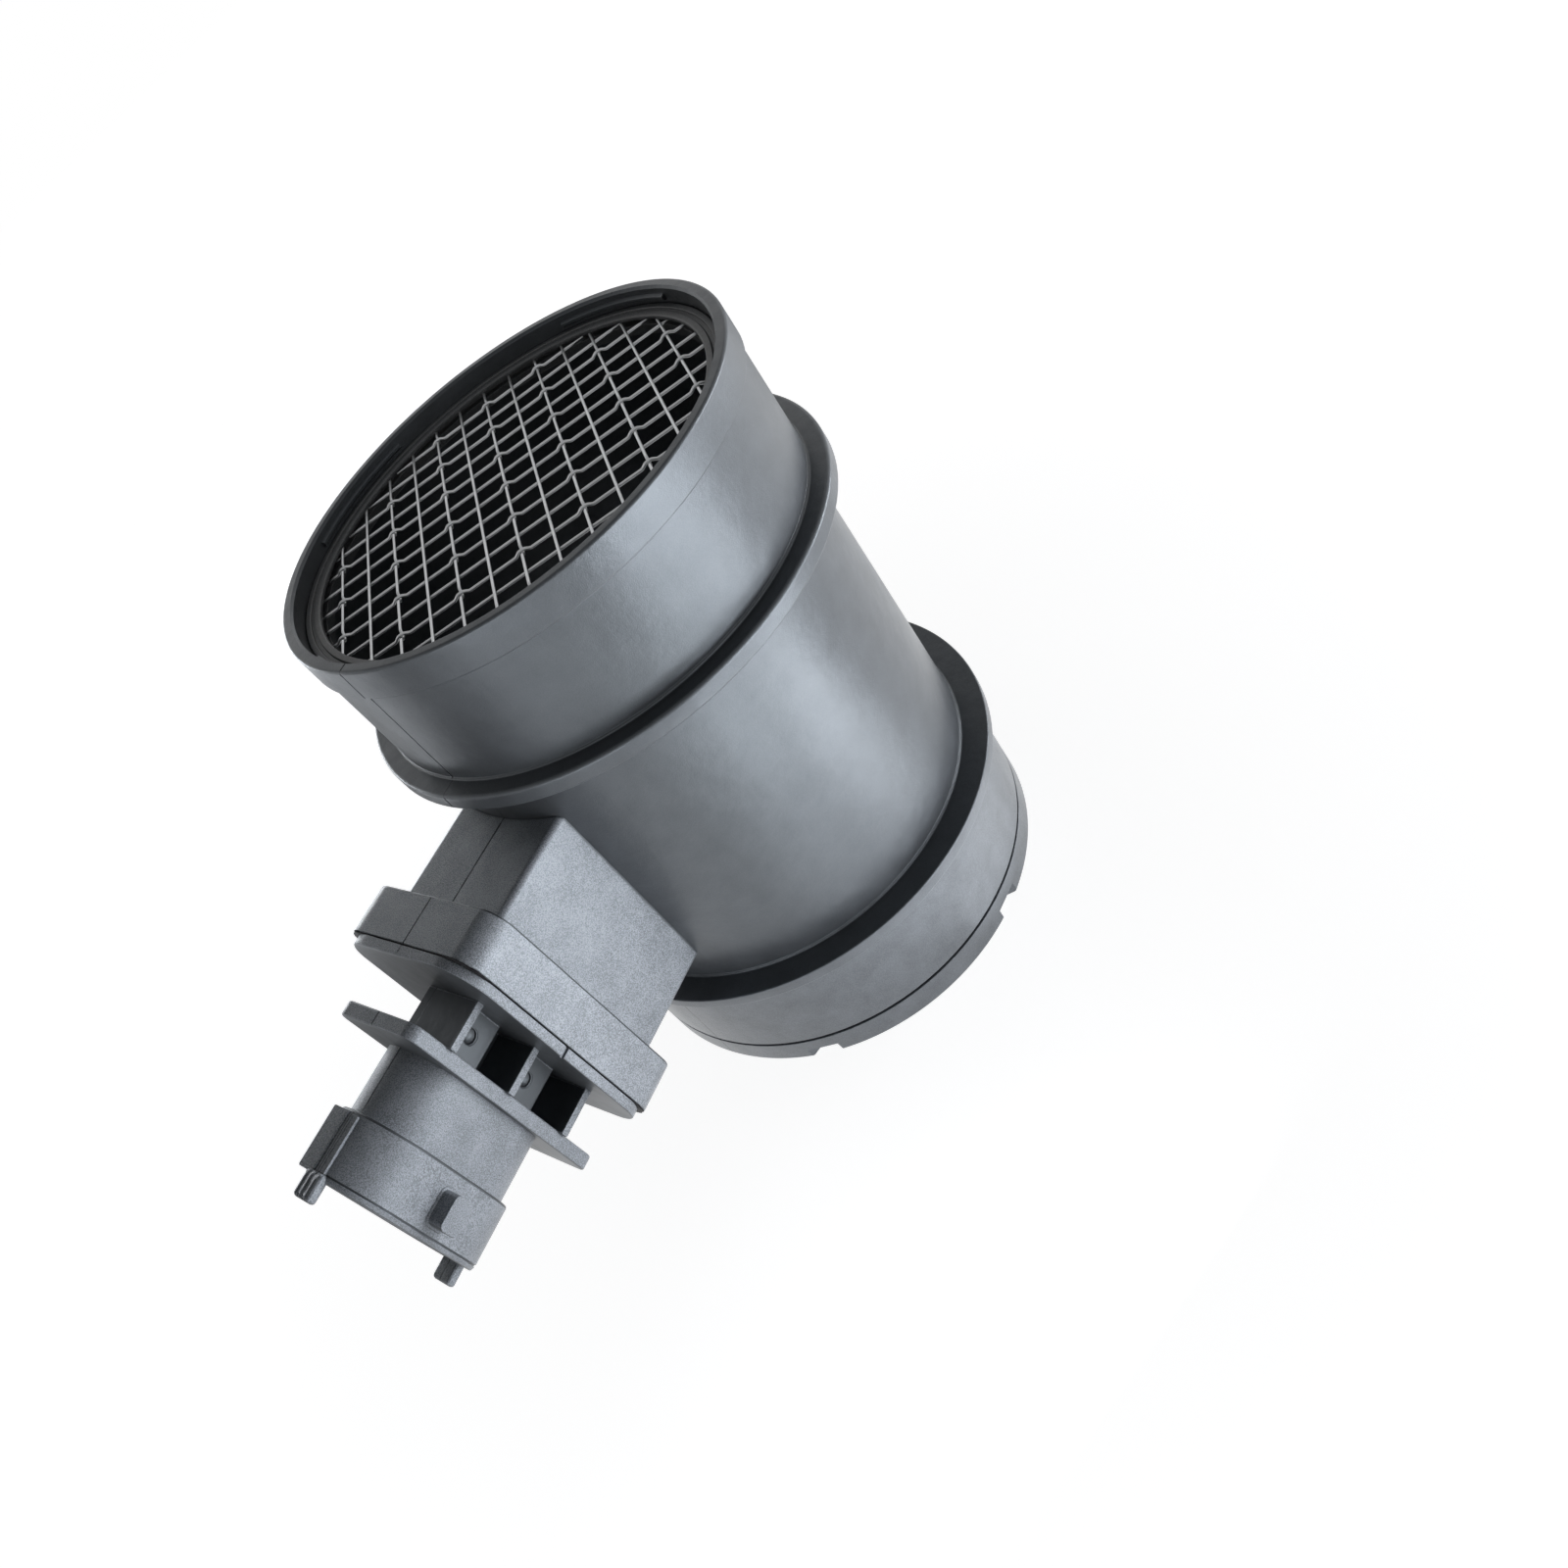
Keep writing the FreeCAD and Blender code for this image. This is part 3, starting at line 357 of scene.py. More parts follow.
def between(tree, source, low, high):
    """1 where a value lies between two limits, else 0."""
    return maths(tree, "MULTIPLY", maths(tree, "GREATER_THAN", source, low),
                 maths(tree, "LESS_THAN", source, high))


def distance_from_axis(tree, parts):
    """Distance from the duct's axis, from separated coordinates."""
    squares = [maths(tree, "MULTIPLY", parts[axis], parts[axis]) for axis in "XY"]
    return maths(tree, "SQRT", maths(tree, "ADD", *squares))


def module_grain_and_painted_shade(tree, place):
    """Grain depth with painted shade: 0, the darker smooth tone, in the neck's pockets, which
    paints the shade in those recesses, and on the faces that look along -X, which paints the shade
    on that side; 1 elsewhere.
    """
    parts = add_node(tree, "ShaderNodeSeparateXYZ", {0: place}).outputs
    facing = add_node(tree, "ShaderNodeTexCoord").outputs["Normal"]
    ahead = add_node(tree, "ShaderNodeSeparateXYZ", {0: facing}).outputs["X"]
    painted_side_shade = spread(tree, ahead, -0.85, -0.6, 1.0, 0.0)
    painted_pocket_shade = maths(tree, "MULTIPLY", between(tree, parts["X"], -0.07575, -0.0682),
                   spread(tree, parts["Y"], -0.0102, -0.0098, 0.0, 1.0))
    return maths(tree, "SUBTRACT", 1.0, maths(tree, "MAXIMUM", painted_side_shade, painted_pocket_shade))


def duct_grain(tree, place):
    """How rough the duct's mould was: 1 on the pedestal, 0.5 on the outlet, 0.3 elsewhere."""
    parts = add_node(tree, "ShaderNodeSeparateXYZ", {0: place}).outputs
    beyond = spread(tree, distance_from_axis(tree, parts), 0.0404, 0.0407, 0.3, 1.0)
    pedestal = maths(tree, "MULTIPLY", beyond, between(tree, parts["Z"], 0.0276, 0.0837))
    outlet = spread(tree, parts["Z"], 0.0235, 0.0275, 0.5, 0.3)
    return maths(tree, "MAXIMUM", pedestal, outlet)


def mixed(tree, factor, first, second):
    """A colour between two, each a socket or three numbers."""
    mix = add_node(tree, "ShaderNodeMix", data_type="RGBA")
    tree.links.new(factor, mix.inputs[0])
    for index, source in ((6, first), (7, second)):
        if isinstance(source, bpy.types.NodeSocket):
            tree.links.new(source, mix.inputs[index])
        else:
            mix.inputs[index].default_value = (*source, 1)
    return mix.outputs[2]


def plastic(name, dark, light, rough, relief, line_from=None, shade_lines=(), grain_of=None,
            grained=None, specular=0.8):
    """Moulded plastic: cloudy tone, a fine grain and pale specks.

    line_from is the distance along X from which the parting line shows. The edge lines are spans of
    X or Z painted with a dark line of painted shade where a step, groove or edge falls into shade,
    and grain_of says where the grained tones take over.
    """
    material, tree, shader, place = new_material(name, specular=specular)
    cloud = texture(tree, place, CLOUD_SCALE, 3.0)
    grain = texture(tree, place, GRAIN_SCALE, 2.0, 0.6)
    specks = spread(tree, grain, 0.38, 0.63, -0.6, 0.6)
    height = grain
    if grain_of:
        shader.inputs["Specular Tint"].default_value = GLOSS_TINT
        depth = grain_of(tree, place)
        specks = maths(tree, "MULTIPLY", specks, depth)
        ripple = maths(tree, "MULTIPLY", texture(tree, place, RIPPLE_SCALE, 4.0), 1.6)
        height = maths(tree, "ADD", maths(tree, "MULTIPLY", grain, depth), ripple)
    mottle = spread(tree, texture(tree, place, MOTTLE_SCALE, 4.0), 0.3, 0.7, -0.25, 0.25)
    tone = maths(tree, "ADD", maths(tree, "ADD", specks, mottle),
                 spread(tree, cloud, 0.0, 1.0, 0.3, 0.7))
    colour = tint(tree, tone, dark, light)
    # Where the depth is low the darker tone stays; in the module this paints shade in the neck's
    # pockets and on the faces that look along -X.
    if grain_of:
        colour = mixed(tree, spread(tree, depth, 0.3, 1.0, 0.0, 1.0), colour,
                       tint(tree, tone, *grained))
    if line_from is not None:
        line = parting_line(tree, place, line_from)
        parts = add_node(tree, "ShaderNodeSeparateXYZ", {0: place}).outputs
        outside = maths(tree, "GREATER_THAN", distance_from_axis(tree, parts), OUTER_SKIN)
        # Each span is a dark line of painted shade at a step, groove or edge.
        for axis, low, high in shade_lines:
            shade_mark = maths(tree, "MULTIPLY", between(tree, parts[axis], low, high), outside)
            line = maths(tree, "MAXIMUM", line, shade_mark)
        # The parting line and the painted shade lines take the near-black tone.
        colour = mixed(tree, line, colour, SEAM_AND_SHADE_TONE)
        height = maths(tree, "SUBTRACT", height, maths(tree, "MULTIPLY", line, 2.5))
    bump = add_node(tree, "ShaderNodeBump", {"Height": height, "Strength": 0.7, "Distance": relief})
    tree.links.new(colour, shader.inputs["Base Color"])
    tree.links.new(spread(tree, cloud, 0.3, 0.7, rough - 0.05, rough + 0.07),
                   shader.inputs["Roughness"])
    tree.links.new(bump.outputs[0], shader.inputs["Normal"])
    return material


def metal(name, dark, light, rough, stretch=(1.0, 1.0, 1.0)):
    """Drawn or rolled metal with fine lines along one direction and dull patches."""
    material, tree, shader, place = new_material(name, metallic=1.0)
    mapping = add_node(tree, "ShaderNodeMapping", {"Vector": place, "Scale": stretch})
    lines = texture(tree, mapping.outputs[0], 2600.0, 3.0)
    patches = texture(tree, place, 240.0, 3.0)
    tree.links.new(tint(tree, patches, dark, light), shader.inputs["Base Color"])
    tree.links.new(spread(tree, lines, 0.3, 0.7, rough - 0.06, rough + 0.1),
                   shader.inputs["Roughness"])
    bump = add_node(tree, "ShaderNodeBump", {"Height": lines, "Strength": 0.5, "Distance": 0.00001})
    tree.links.new(bump.outputs[0], shader.inputs["Normal"])
    return material


MATERIALS = {
    "duct_plastic": plastic(
        "duct_plastic", (0.032, 0.034, 0.037), (0.062, 0.066, 0.072), 0.36, 0.00011,
        line_from=0.0401,
        # The spans below are painted shade: dark lines at the band's back edge, in the outlet's
        # groove and at the collar's foot.
        shade_lines=[("X", -0.0579, -0.0575), ("Z", 0.00512, 0.0056), ("Z", 0.10695, 0.1071)],
        grain_of=duct_grain, grained=((0.105, 0.111, 0.121), (0.285, 0.301, 0.328))),
    "module_plastic": plastic(
        "module_plastic", (0.020, 0.021, 0.023), (0.050, 0.053, 0.058), 0.42, 0.00011,
        # The spans below are painted shade: dark lines at the socket's step and near the socket's
        # end.
        line_from=0.0680, shade_lines=[("X", -0.0896, -0.0892), ("X", -0.0990, -0.0988)],
        # The grain_of function below also paints shade: the neck's pockets and the faces along -X
        # keep the darker tone.
        grain_of=module_grain_and_painted_shade, grained=((0.090, 0.095, 0.104), (0.250, 0.264, 0.288))),
    "ring_plastic": plastic("ring_plastic", (0.05, 0.052, 0.055), (0.10, 0.105, 0.11), 0.45,
                            0.00003),
    "screen_wire": metal("screen_wire", (0.52, 0.53, 0.54), (0.74, 0.75, 0.76), 0.34),
    "sealant": plastic("sealant", (0.004, 0.004, 0.005), (0.012, 0.012, 0.013), 0.6, 0.00012,
                       specular=0.2),
    "seal_rubber": plastic("seal_rubber", (0.012, 0.012, 0.012), (0.03, 0.03, 0.03), 0.6, 0.00003),
    "cover_plastic": plastic("cover_plastic", (0.03, 0.031, 0.033), (0.06, 0.062, 0.065), 0.45,
                             0.00003),
    "carrier_aluminium": metal("carrier_aluminium", (0.62, 0.63, 0.64), (0.8, 0.81, 0.82), 0.38,
                               (0.05, 1.0, 1.0)),
    "board_ceramic": plastic("board_ceramic", (0.66, 0.65, 0.60), (0.86, 0.85, 0.80), 0.5, 0.00001),
    "holder_plastic": plastic("holder_plastic", (0.03, 0.03, 0.03), (0.07, 0.07, 0.07), 0.5,
                              0.00002),
    "chip_ceramic": plastic("chip_ceramic", (0.16, 0.18, 0.23), (0.30, 0.32, 0.37), 0.18, 0.000002),
    "package_plastic": plastic("package_plastic", (0.015, 0.015, 0.017), (0.04, 0.04, 0.043), 0.5,
                               0.00002),
    "terminal_metal": metal("terminal_metal", (0.66, 0.65, 0.60), (0.83, 0.82, 0.78), 0.26,
                            (0.05, 1.0, 1.0)),
    "bead_glass": plastic("bead_glass", (0.22, 0.13, 0.06), (0.42, 0.27, 0.14), 0.12, 0.000004),
    "lead_metal": metal("lead_metal", (0.58, 0.58, 0.58), (0.78, 0.78, 0.78), 0.3),
}


def finish_piece(piece, slot, *nodes):
    """Give a piece its material, attach it to the root body and hide the CAD nodes it stands for.
    """
    piece.data.materials.clear()
    piece.data.materials.append(MATERIALS[slot])
    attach(piece, "root")
    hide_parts(*nodes)
    return piece


# ---------------------------------------------------------------------- duct

def lip_notch_cutters():
    """Notches around the outlet's end, whose cuts widen outward."""
    cutters = []
    for index in range(NOTCH_COUNT):
        angle = math.radians(NOTCH_START + 360 // NOTCH_COUNT * index)
        outward = Vector((math.cos(angle), math.sin(angle), 0))
        along = Vector((-math.sin(angle), math.cos(angle), 0))
        sections = []
        for radius, reach, top in ((40.9, 1.7, 0.9), (42.6, 3.2, 2.6), (46.0, 3.4, 2.8)):
            outline = [(-reach, -0.7), (reach, -0.7), (reach, top), (-reach, top)]
            sections.append([outward * radius + along * across + Vector((0, 0, height))
                             for across, height in outline])
        cutters.append(loft(f"notch_{index}", sections))
    return cutters


def parting_grooves():
    """Shallow cuts where the duct's mould halves met, on the side of the pedestal."""
    spans = [((-42.3, -41.88), (107.0, 112.6)), ((-41.6, -41.3), (87.0, 106.9)),
             ((-45.2, -44.8), (84.2, 86.8)), ((-57.6, -41.2), (75.02, 75.4)),
             ((-66.1, -57.8), (78.82, 79.2)), ((-41.6, -39.5), (112.86, 113.3))]
    return [block(f"groove_{index}", x, (-0.12, 0.12), z, 0)
            for index, (x, z) in enumerate(spans)]


def duct():
    """The moulded duct, with the pedestal and band that the module plugs into."""
    body = turned_solid("duct", [
        (41.6, 0, 0), (OUTLET_RADIUS, 0, 0.5), (OUTLET_RADIUS, 5.1, 0.12), (41.6, 5.15, 0.05),
        (41.6, 5.65, 0.05), (OUTLET_RADIUS, 5.75, 0.12), (OUTLET_RADIUS, LOWER_FLANGE_FOOT, 0.3),
        (LOWER_FLANGE_RADIUS, LOWER_FLANGE_FOOT, 0.35),
        (LOWER_FLANGE_RADIUS, LOWER_FLANGE_TOP, 0.3),
        (40.45, LOWER_FLANGE_TOP, 0.25), (40.45, 27.2, 0.08), (BARREL_RADIUS, 27.3, 0.2),
        (BARREL_RADIUS, UPPER_FLANGE_FOOT, 0.9), (UPPER_FLANGE_RADIUS, UPPER_FLANGE_FOOT, 0.5),
        (UPPER_FLANGE_RADIUS, UPPER_FLANGE_TOP, 0.7), (41.6, UPPER_FLANGE_TOP, 0.25),
        (41.6, 87.35, 0.08), (INLET_RADIUS, 87.5, 0.2), (INLET_RADIUS, COLLAR_FOOT, 0.3),
        (RIM_RADIUS, 107.15, 0.3), (RIM_RADIUS, LENGTH, 0.5), (40.0, LENGTH, 0),
    ])
    pedestal = prism("pedestal", PEDESTAL_OUTLINE, [(20, 0, 0), (57.9, 0, 0), (57.9, 3, 0)], 4)
    band = prism("band", BAND_OUTLINE,
                 [(57.6, 3, 0), (57.6, 0, 0.3), (BAND_OUT, 0, 0.2), (BAND_OUT, 3, 0)])
    combine(body, [pedestal, band], "UNION")
    bore = turned_solid("bore", [
        (OUTLET_BORE_RADIUS, -2, 0), (OUTLET_BORE_RADIUS, 22, 1.0), (BORE_RADIUS, 30, 1.0),
        (BORE_RADIUS, SEAT_LEVEL, 0), (SEAT_RADIUS, SEAT_LEVEL, 0), (SEAT_RADIUS, 112.6, 0.2),
        (40.6, 113.3, 0), (40.6, 115, 0),
    ])
    window = prism("window", (MIDDLE, 34.9, 17.9, 4.0), [(20, 0, 0), (70, 0, 0)])
    combine(body, [bore, window, *lip_notch_cutters(), *parting_grooves()], "DIFFERENCE")
    bead_outline = [(40.4, 110.4, 0), (40.4, 111.6, 0), (SEAT_RADIUS, 111.6, 0),
                    (39.35, 111.35, 0.12), (39.35, 110.7, 0.12), (SEAT_RADIUS, 110.4, 0)]
    starts = [360 // BEAD_COUNT * index - BEAD_SPAN // 2 for index in range(BEAD_COUNT)]
    beads = [turned_ring(f"bead_{index}", bead_outline, steps=28, start=start, span=BEAD_SPAN)
             for index, start in enumerate(starts)]
    combine(body, beads, "UNION")
    return finish_piece(smooth(body), "duct_plastic", "tube_housing")


# -------------------------------------------------------------------- module

def neck_pieces():
    """The web, the three cross walls and the two blocks between plate and collar."""
    x = (-75.95, -67.85)
    pieces = [block("web", x, (-1.6, 1.6), (39.5, NECK_TOP), 0)]
    for index in range(3):
        top = NECK_TOP - NECK_PITCH * index
        far = NECK_HALF_WIDTH if index else 1.55
        pieces.append(block(f"wall_{index}", x, (-NECK_HALF_WIDTH, far), (top - NECK_WALL, top),
                            0.25))
    for index in range(2):
        top = 67.8 - NECK_PITCH * index
        pieces.append(block(f"block_{index}", x, (-6.0, 1.5), (top - 8.5, top), 0.2))
    return pieces


def ejector_marks():
    """Round dished marks that the mould's ejectors left in the two blocks."""
    marks = []
    for index in range(2):
        middle = Vector((-71.9, -6.0, 63.5 - NECK_PITCH * index))
        sections = [[middle + Vector((radius * math.cos(math.tau * step / 28), depth,
                                      radius * math.sin(math.tau * step / 28)))
                     for step in range(28)]
                    for radius, depth in ((1.45, -1.0), (1.45, 0.12), (1.25, 0.2), (1.15, 0.5),
                                          (0.75, 0.75), (0.3, 0.82))]
        marks.append(loft(f"mark_{index}", sections))
    return marks


def stud(name, x, z, stations, corner=1.0, steps=6):
    """A post along Y with a rounded rectangular outline. Stations are (y, inset)."""
    sections = []
    for y, inset in stations:
        section = []
        for quarter, (a, b) in enumerate(((1, 1), (0, 1), (0, 0), (1, 0))):
            radius = max(corner - inset, 0.1)
            for step in range(steps + 1):
                angle = math.radians(90 * (quarter + step / steps))
                middle_x = (x[1] - inset - radius) if a else (x[0] + inset + radius)
                middle_z = (z[1] - inset - radius) if b else (z[0] + inset + radius)
                section.append((middle_x + radius * math.cos(angle), y,
                                middle_z + radius * math.sin(angle)))
        sections.append(section)
    return loft(name, sections)


def long_cut(name, x, y, top, half, depth):
    """A V-shaped cut along X."""
    return loft(name, [[(out, y - 2 * half, top + depth), (out, y + 2 * half, top + depth),
                        (out, y, top - depth)] for out in x])


def connector_pieces():
    """Collar, oval socket with its hollow, pad, guides and latch nub."""
    collar = prism("collar", COLLAR_OUTLINE,
                   [(75.8, 2, 0), (75.8, 0, 0.35), (78.3, 0, 0.35), (78.3, 2, 0)])
    socket = prism("socket", SOCKET_OUTLINE, [
        (78.1, 1.2, 0), (89.2, 1.2, 0.15), (89.2, 0, 0.4),
        (98.7, 0, 0.1), (98.8, 0.2, 0.06), (99.0, 0.2, 0.06), (99.1, 0.05, 0.06),
        (99.8, 0.35, 0.3), (99.8, 2.7, 0.4), (83.3, 2.7, 0.3), (83.3, 4.0, 0)], 20)
    pad = block("pad", (-99.4, -89.7), (0.8, 4.6), (68.4, 70.8), 0.2)
    rib = block("rib", (-99.2, -89.9), (-1.7, 0.65), (69.2, 70.6), 0.12)
    upper = block("upper_guide", (-103.2, -98.9), (-2.1, 2.1), (69.2, 71.0), 0.6, 3)
    lower = block("lower_guide", (-103.2, -98.6), (-2.1, 2.1), (37.6, 39.4), 0.6, 3)
    latch = stud("latch", (-97.4, -91.9), (52.0, 56.0), [
        (-7.6, -0.4), (-9.25, -0.4), (-9.4, -0.3), (-9.45, 0.0), (-12.25, 0.0), (-12.42, 0.07),
        (-12.5, 0.25)])
    return [collar, socket, pad, rib, upper, lower, latch]


def guide_cuts():
    """Lengthwise lines along the pad, the rib and the upper guide's tip."""
    cuts = [long_cut(f"line_{index}", (-104, -89.8), y, 70.72, 0.14, 0.28)
            for index, y in enumerate((0.72, -0.5))]
    cuts += [long_cut(f"tip_line_{index}", (-104, -99.9), y, 71.0, 0.2, 0.3)
             for index, y in enumerate((1.3, 0.1, -1.2))]
    cuts.append(long_cut("rib_side", (-99.85, -89.8), -1.75, 70.5, 0.12, 0.4))
    return cuts


def module_grooves():
    """Shallow cuts on the module's parting line and a nick in the plate's edge."""
    spans = [((-68.2, -66.0), (78.86, 79.2)), ((-78.5, -75.6), (75.96, 76.4)),
             ((-88.2, -78.4), (69.12, 69.5))]
    cuts = [block(f"seam_{index}", x, (-0.1, 0.1), z, 0) for index, (x, z) in enumerate(spans)]
    return cuts + [block("nick", (-68.4, -66.0), (-16.3, -15.55), (53.9, 54.6), 0)]


def finger_pieces():
    """The spigot with its seal groove, and the finger."""
    spigot = prism("spigot", (MIDDLE, 34.4, 17.4, 3.75), [
        (67.0, 0, 0), (52.0, 0, 0.1), (52.0, 1.6, 0.1), (49.6, 1.6, 0.1), (49.6, 0, 0.1),
        (45.0, 0, 0.6), (45.0, 2, 0)])
    finger = prism("finger", (MIDDLE, 27.0, 11.0, 1.8), [
        (46.0, 0, 0), (-18.0, 0, 1.2), (-18.0, 2, 0)], 6)
    return [spigot, finger]


def finger_cutters():
    """The chamber, the air channel, their rebates and the slot between them."""
    return [
        side_cut("rebate_1", box_corners(-44, -11, 43, 66), -7, -4.3),
        side_cut("chamber", box_corners(-43, -12, 44, 65), -5, 2.1),
        side_cut("rebate_2", box_corners(-10.5, 14, 43, 66), -7, -4.3),
        side_cut("channel", [(5, 72), (5, 50), (-7, 50), (-7, 38), (-1, 38), (-1, 45), (13, 45),
                             (13, 72)], -7, 3.5),
        side_cut("slot", box_corners(-13, 6, 51.9, 57.1), -5, 0.3),
    ]


def module():
    """The sensor module's moulding, from its finger to the socket."""
    body = prism("module", PLATE_OUTLINE,
                 [(66.25, 2, 0), (66.25, 0, 0.15), (PLATE_OUT, 0, 0.3), (PLATE_OUT, 2, 0)], 16)
    combine(body, neck_pieces() + connector_pieces() + finger_pieces(), "UNION")
    combine(body, ejector_marks() + finger_cutters() + guide_cuts() + module_grooves(),
            "DIFFERENCE")
    return finish_piece(smooth(body), "module_plastic", "sensor_body")


def sealant():
    """The bonding bead, squeezed out unevenly at its outer edge, with a burr at one place."""
    burr_level, burr_half = 55.8, 0.8

    def edge(out, inset, push):
        outline = oval(out, *BAND_OUTLINE, inset, 24)
        result = []
        for x, y, z in outline:
            swell = push * noise.noise(Vector((y * 0.55, z * 0.55, 3.0)))
            swell += 0.5 * push * noise.noise(Vector((y * 2.1, z * 2.1, 9.0)))
            if y < 0:
                swell += 0.9 * push * math.exp(-((z - burr_level) / burr_half) ** 2)
            away = Vector((0, y, z - MIDDLE)).normalized() * swell
            result.append((x, y + away.y, z + away.z))
        return result

    sections = [edge(65.98, 1.7, 0), edge(65.98, 0.25, 0.5), edge(66.12, 0.12, 0.6),
                edge(66.27, 0.25, 0.5), edge(66.27, 1.7, 0)]
    return finish_piece(smooth(loft("sealant_line", sections, ring=True), 60), "sealant",
                        "sealant_bead")


# -------------------------------------------------------------------- screen

def ring():
    """The screen's ring, with a groove in its top and a slot for the wires' ends."""
    outer, top, slot_radius, slot_low, slot_high = 39.8, 109.9, 38.5, 108.09, 109.11
    piece = turned_ring("ring", [
        (RING_INNER, SEAT_LEVEL, 0.2), (outer, SEAT_LEVEL, 0.2), (outer, top, 0.3),
        (38.75, top, 0.12), (38.65, 109.5, 0.05), (38.05, 109.5, 0.05), (37.95, top, 0.12),
        (RING_INNER, top, 0.35), (RING_INNER, slot_high, 0.05), (slot_radius, slot_high, 0),
        (slot_radius, slot_low, 0), (RING_INNER, slot_low, 0.05)])
    return finish_piece(smooth(piece), "ring_plastic", "screen_ring")


def wire_path(offset, side, crossings):
    """Heights along a wire: it stays on its side and dips past the middle at each crossing."""
    chord = math.sqrt(WIRE_REACH ** 2 - offset ** 2)
    free = math.sqrt(RING_INNER ** 2 - offset ** 2)
    path = [(-chord, side * WIRE_RISE)]
    for spot in crossings:
        if abs(spot) + CRIMP_HALF > free:
            continue
        for step in range(-8, 9):
            along = abs(step) / 8 * CRIMP_HALF
            fall = min(max((CRIMP_HALF - along) / CRIMP_SLOPE, 0), 1)
            blend = fall * fall * (3 - 2 * fall)
            path.append((spot + step / 8 * CRIMP_HALF, side * WIRE_RISE * (1 - 2 * blend)))
    path.append((chord, side * WIRE_RISE))
    return path


def screen():
    """Thirteen warps and thirteen wefts. Every other one of each set is crimped."""
    steps = range(-6, 7)
    even_warps = [step * WIRE_PITCH for step in steps if step % 2 == 0]
    even_wefts = [step * WIRE_PITCH + WEFT_SHIFT for step in steps if step % 2 == 0]
    sets = (("warp", WARP_TURN, 1, 0.0, 1, even_wefts),
            ("weft", WEFT_TURN, -1, WEFT_SHIFT, -1, even_warps))
    for word, turn, side, shift, sign, crossings in sets:
        angle = math.radians(turn)
        along = Vector((math.cos(angle), math.sin(angle), 0))
        across = Vector((-math.sin(angle), math.cos(angle), 0))
        for number, step in enumerate(steps, start=1):
            offset = sign * (step * WIRE_PITCH + shift)
            heights = wire_path(offset, side, [] if step % 2 else crossings)
            path = [along * a + across * offset + Vector((0, 0, WIRE_LEVEL + h))
                    for a, h in heights]
            piece = tube(f"wire_{word}_{number:02d}", path, across, WIRE_RADIUS)
            finish_piece(smooth(piece, 50), "screen_wire", f"screen_{word}_{number:02d}")


# ------------------------------------------------------------- small pieces

def boxed_pieces():
    """Flat pieces inside the finger, with rounded edges, where their CAD nodes are."""
    edges = {
        "electronics_cover": ("cover_plastic", 0.25), "channel_cover": ("cover_plastic", 0.25),
        "carrier_plate": ("carrier_aluminium", 0.15), "circuit_board": ("board_ceramic", 0.08),
        "signal_chip": ("package_plastic", 0.2), "chip_holder": ("holder_plastic", 0.12),
        "sensing_chip": ("chip_ceramic", 0.05),
    }
    for node, (slot, edge) in edges.items():
        low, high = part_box(node)
        limits = [(a / MM, b / MM) for a, b in zip(low, high)]
        piece = block(f"{node}_piece", *limits, edge)
        finish_piece(smooth(piece, 40), slot, node)


def terminals():
    """Flat pins with chamfered tips."""
    corner = 0.08
    for index in range(PIN_COUNT):
        middle = SOCKET_MIDDLE + (index - PIN_COUNT // 2) * PIN_PITCH
        sections = []
        for x, half_y, half_z in ((-95.8, 0.14, 0.28), (-94.8, 0.3, 0.6), (-39.0, 0.3, 0.6)):
            outline = []
            for sy, sz in ((1, 1), (-1, 1), (-1, -1), (1, -1)):
                first = (x, sy * half_y, middle + sz * (half_z - corner))
                second = (x, sy * (half_y - corner), middle + sz * half_z)
                outline += [first, second] if sy * sz > 0 else [second, first]
            sections.append(outline)
        piece = loft(f"pin_{index + 1}", sections)
        finish_piece(smooth(piece, 20), "terminal_metal", f"terminal_{index + 1}")


def probe():
    """The air temperature bead and its two bent wires."""
    middle_x, middle_y, middle_z = PROBE_MIDDLE
    sides = 28
    sections = []
    for step in range(13):
        angle = math.pi * (step + 0.35) / 12.7
        radius = 1.1 * math.sin(angle) ** 0.7
        sections.append([(middle_x - 2 * math.cos(angle),
                          middle_y + radius * math.cos(math.tau * side / sides),
                          middle_z + radius * math.sin(math.tau * side / sides))
                         for side in range(sides)])
    finish_piece(smooth(loft("bead_glass_body", sections), 60), "bead_glass", "thermistor")
    for number, side in ((1, 1), (2, -1)):
        foot = middle_x - side * 5
        bend = [(foot, 61.4, 0), (foot, middle_z, 1.2), (middle_x - side * 1.8, middle_z, 0)]
        path = [(x, middle_y, z) for x, z in rounded(bend, segments=8)]
        piece = tube(f"lead_{number}", path, (0, 1, 0), 0.25)
        finish_piece(smooth(piece, 50), "lead_metal", f"thermistor_lead_{number}")


# ------------------------------------------------- floor, lights and camera

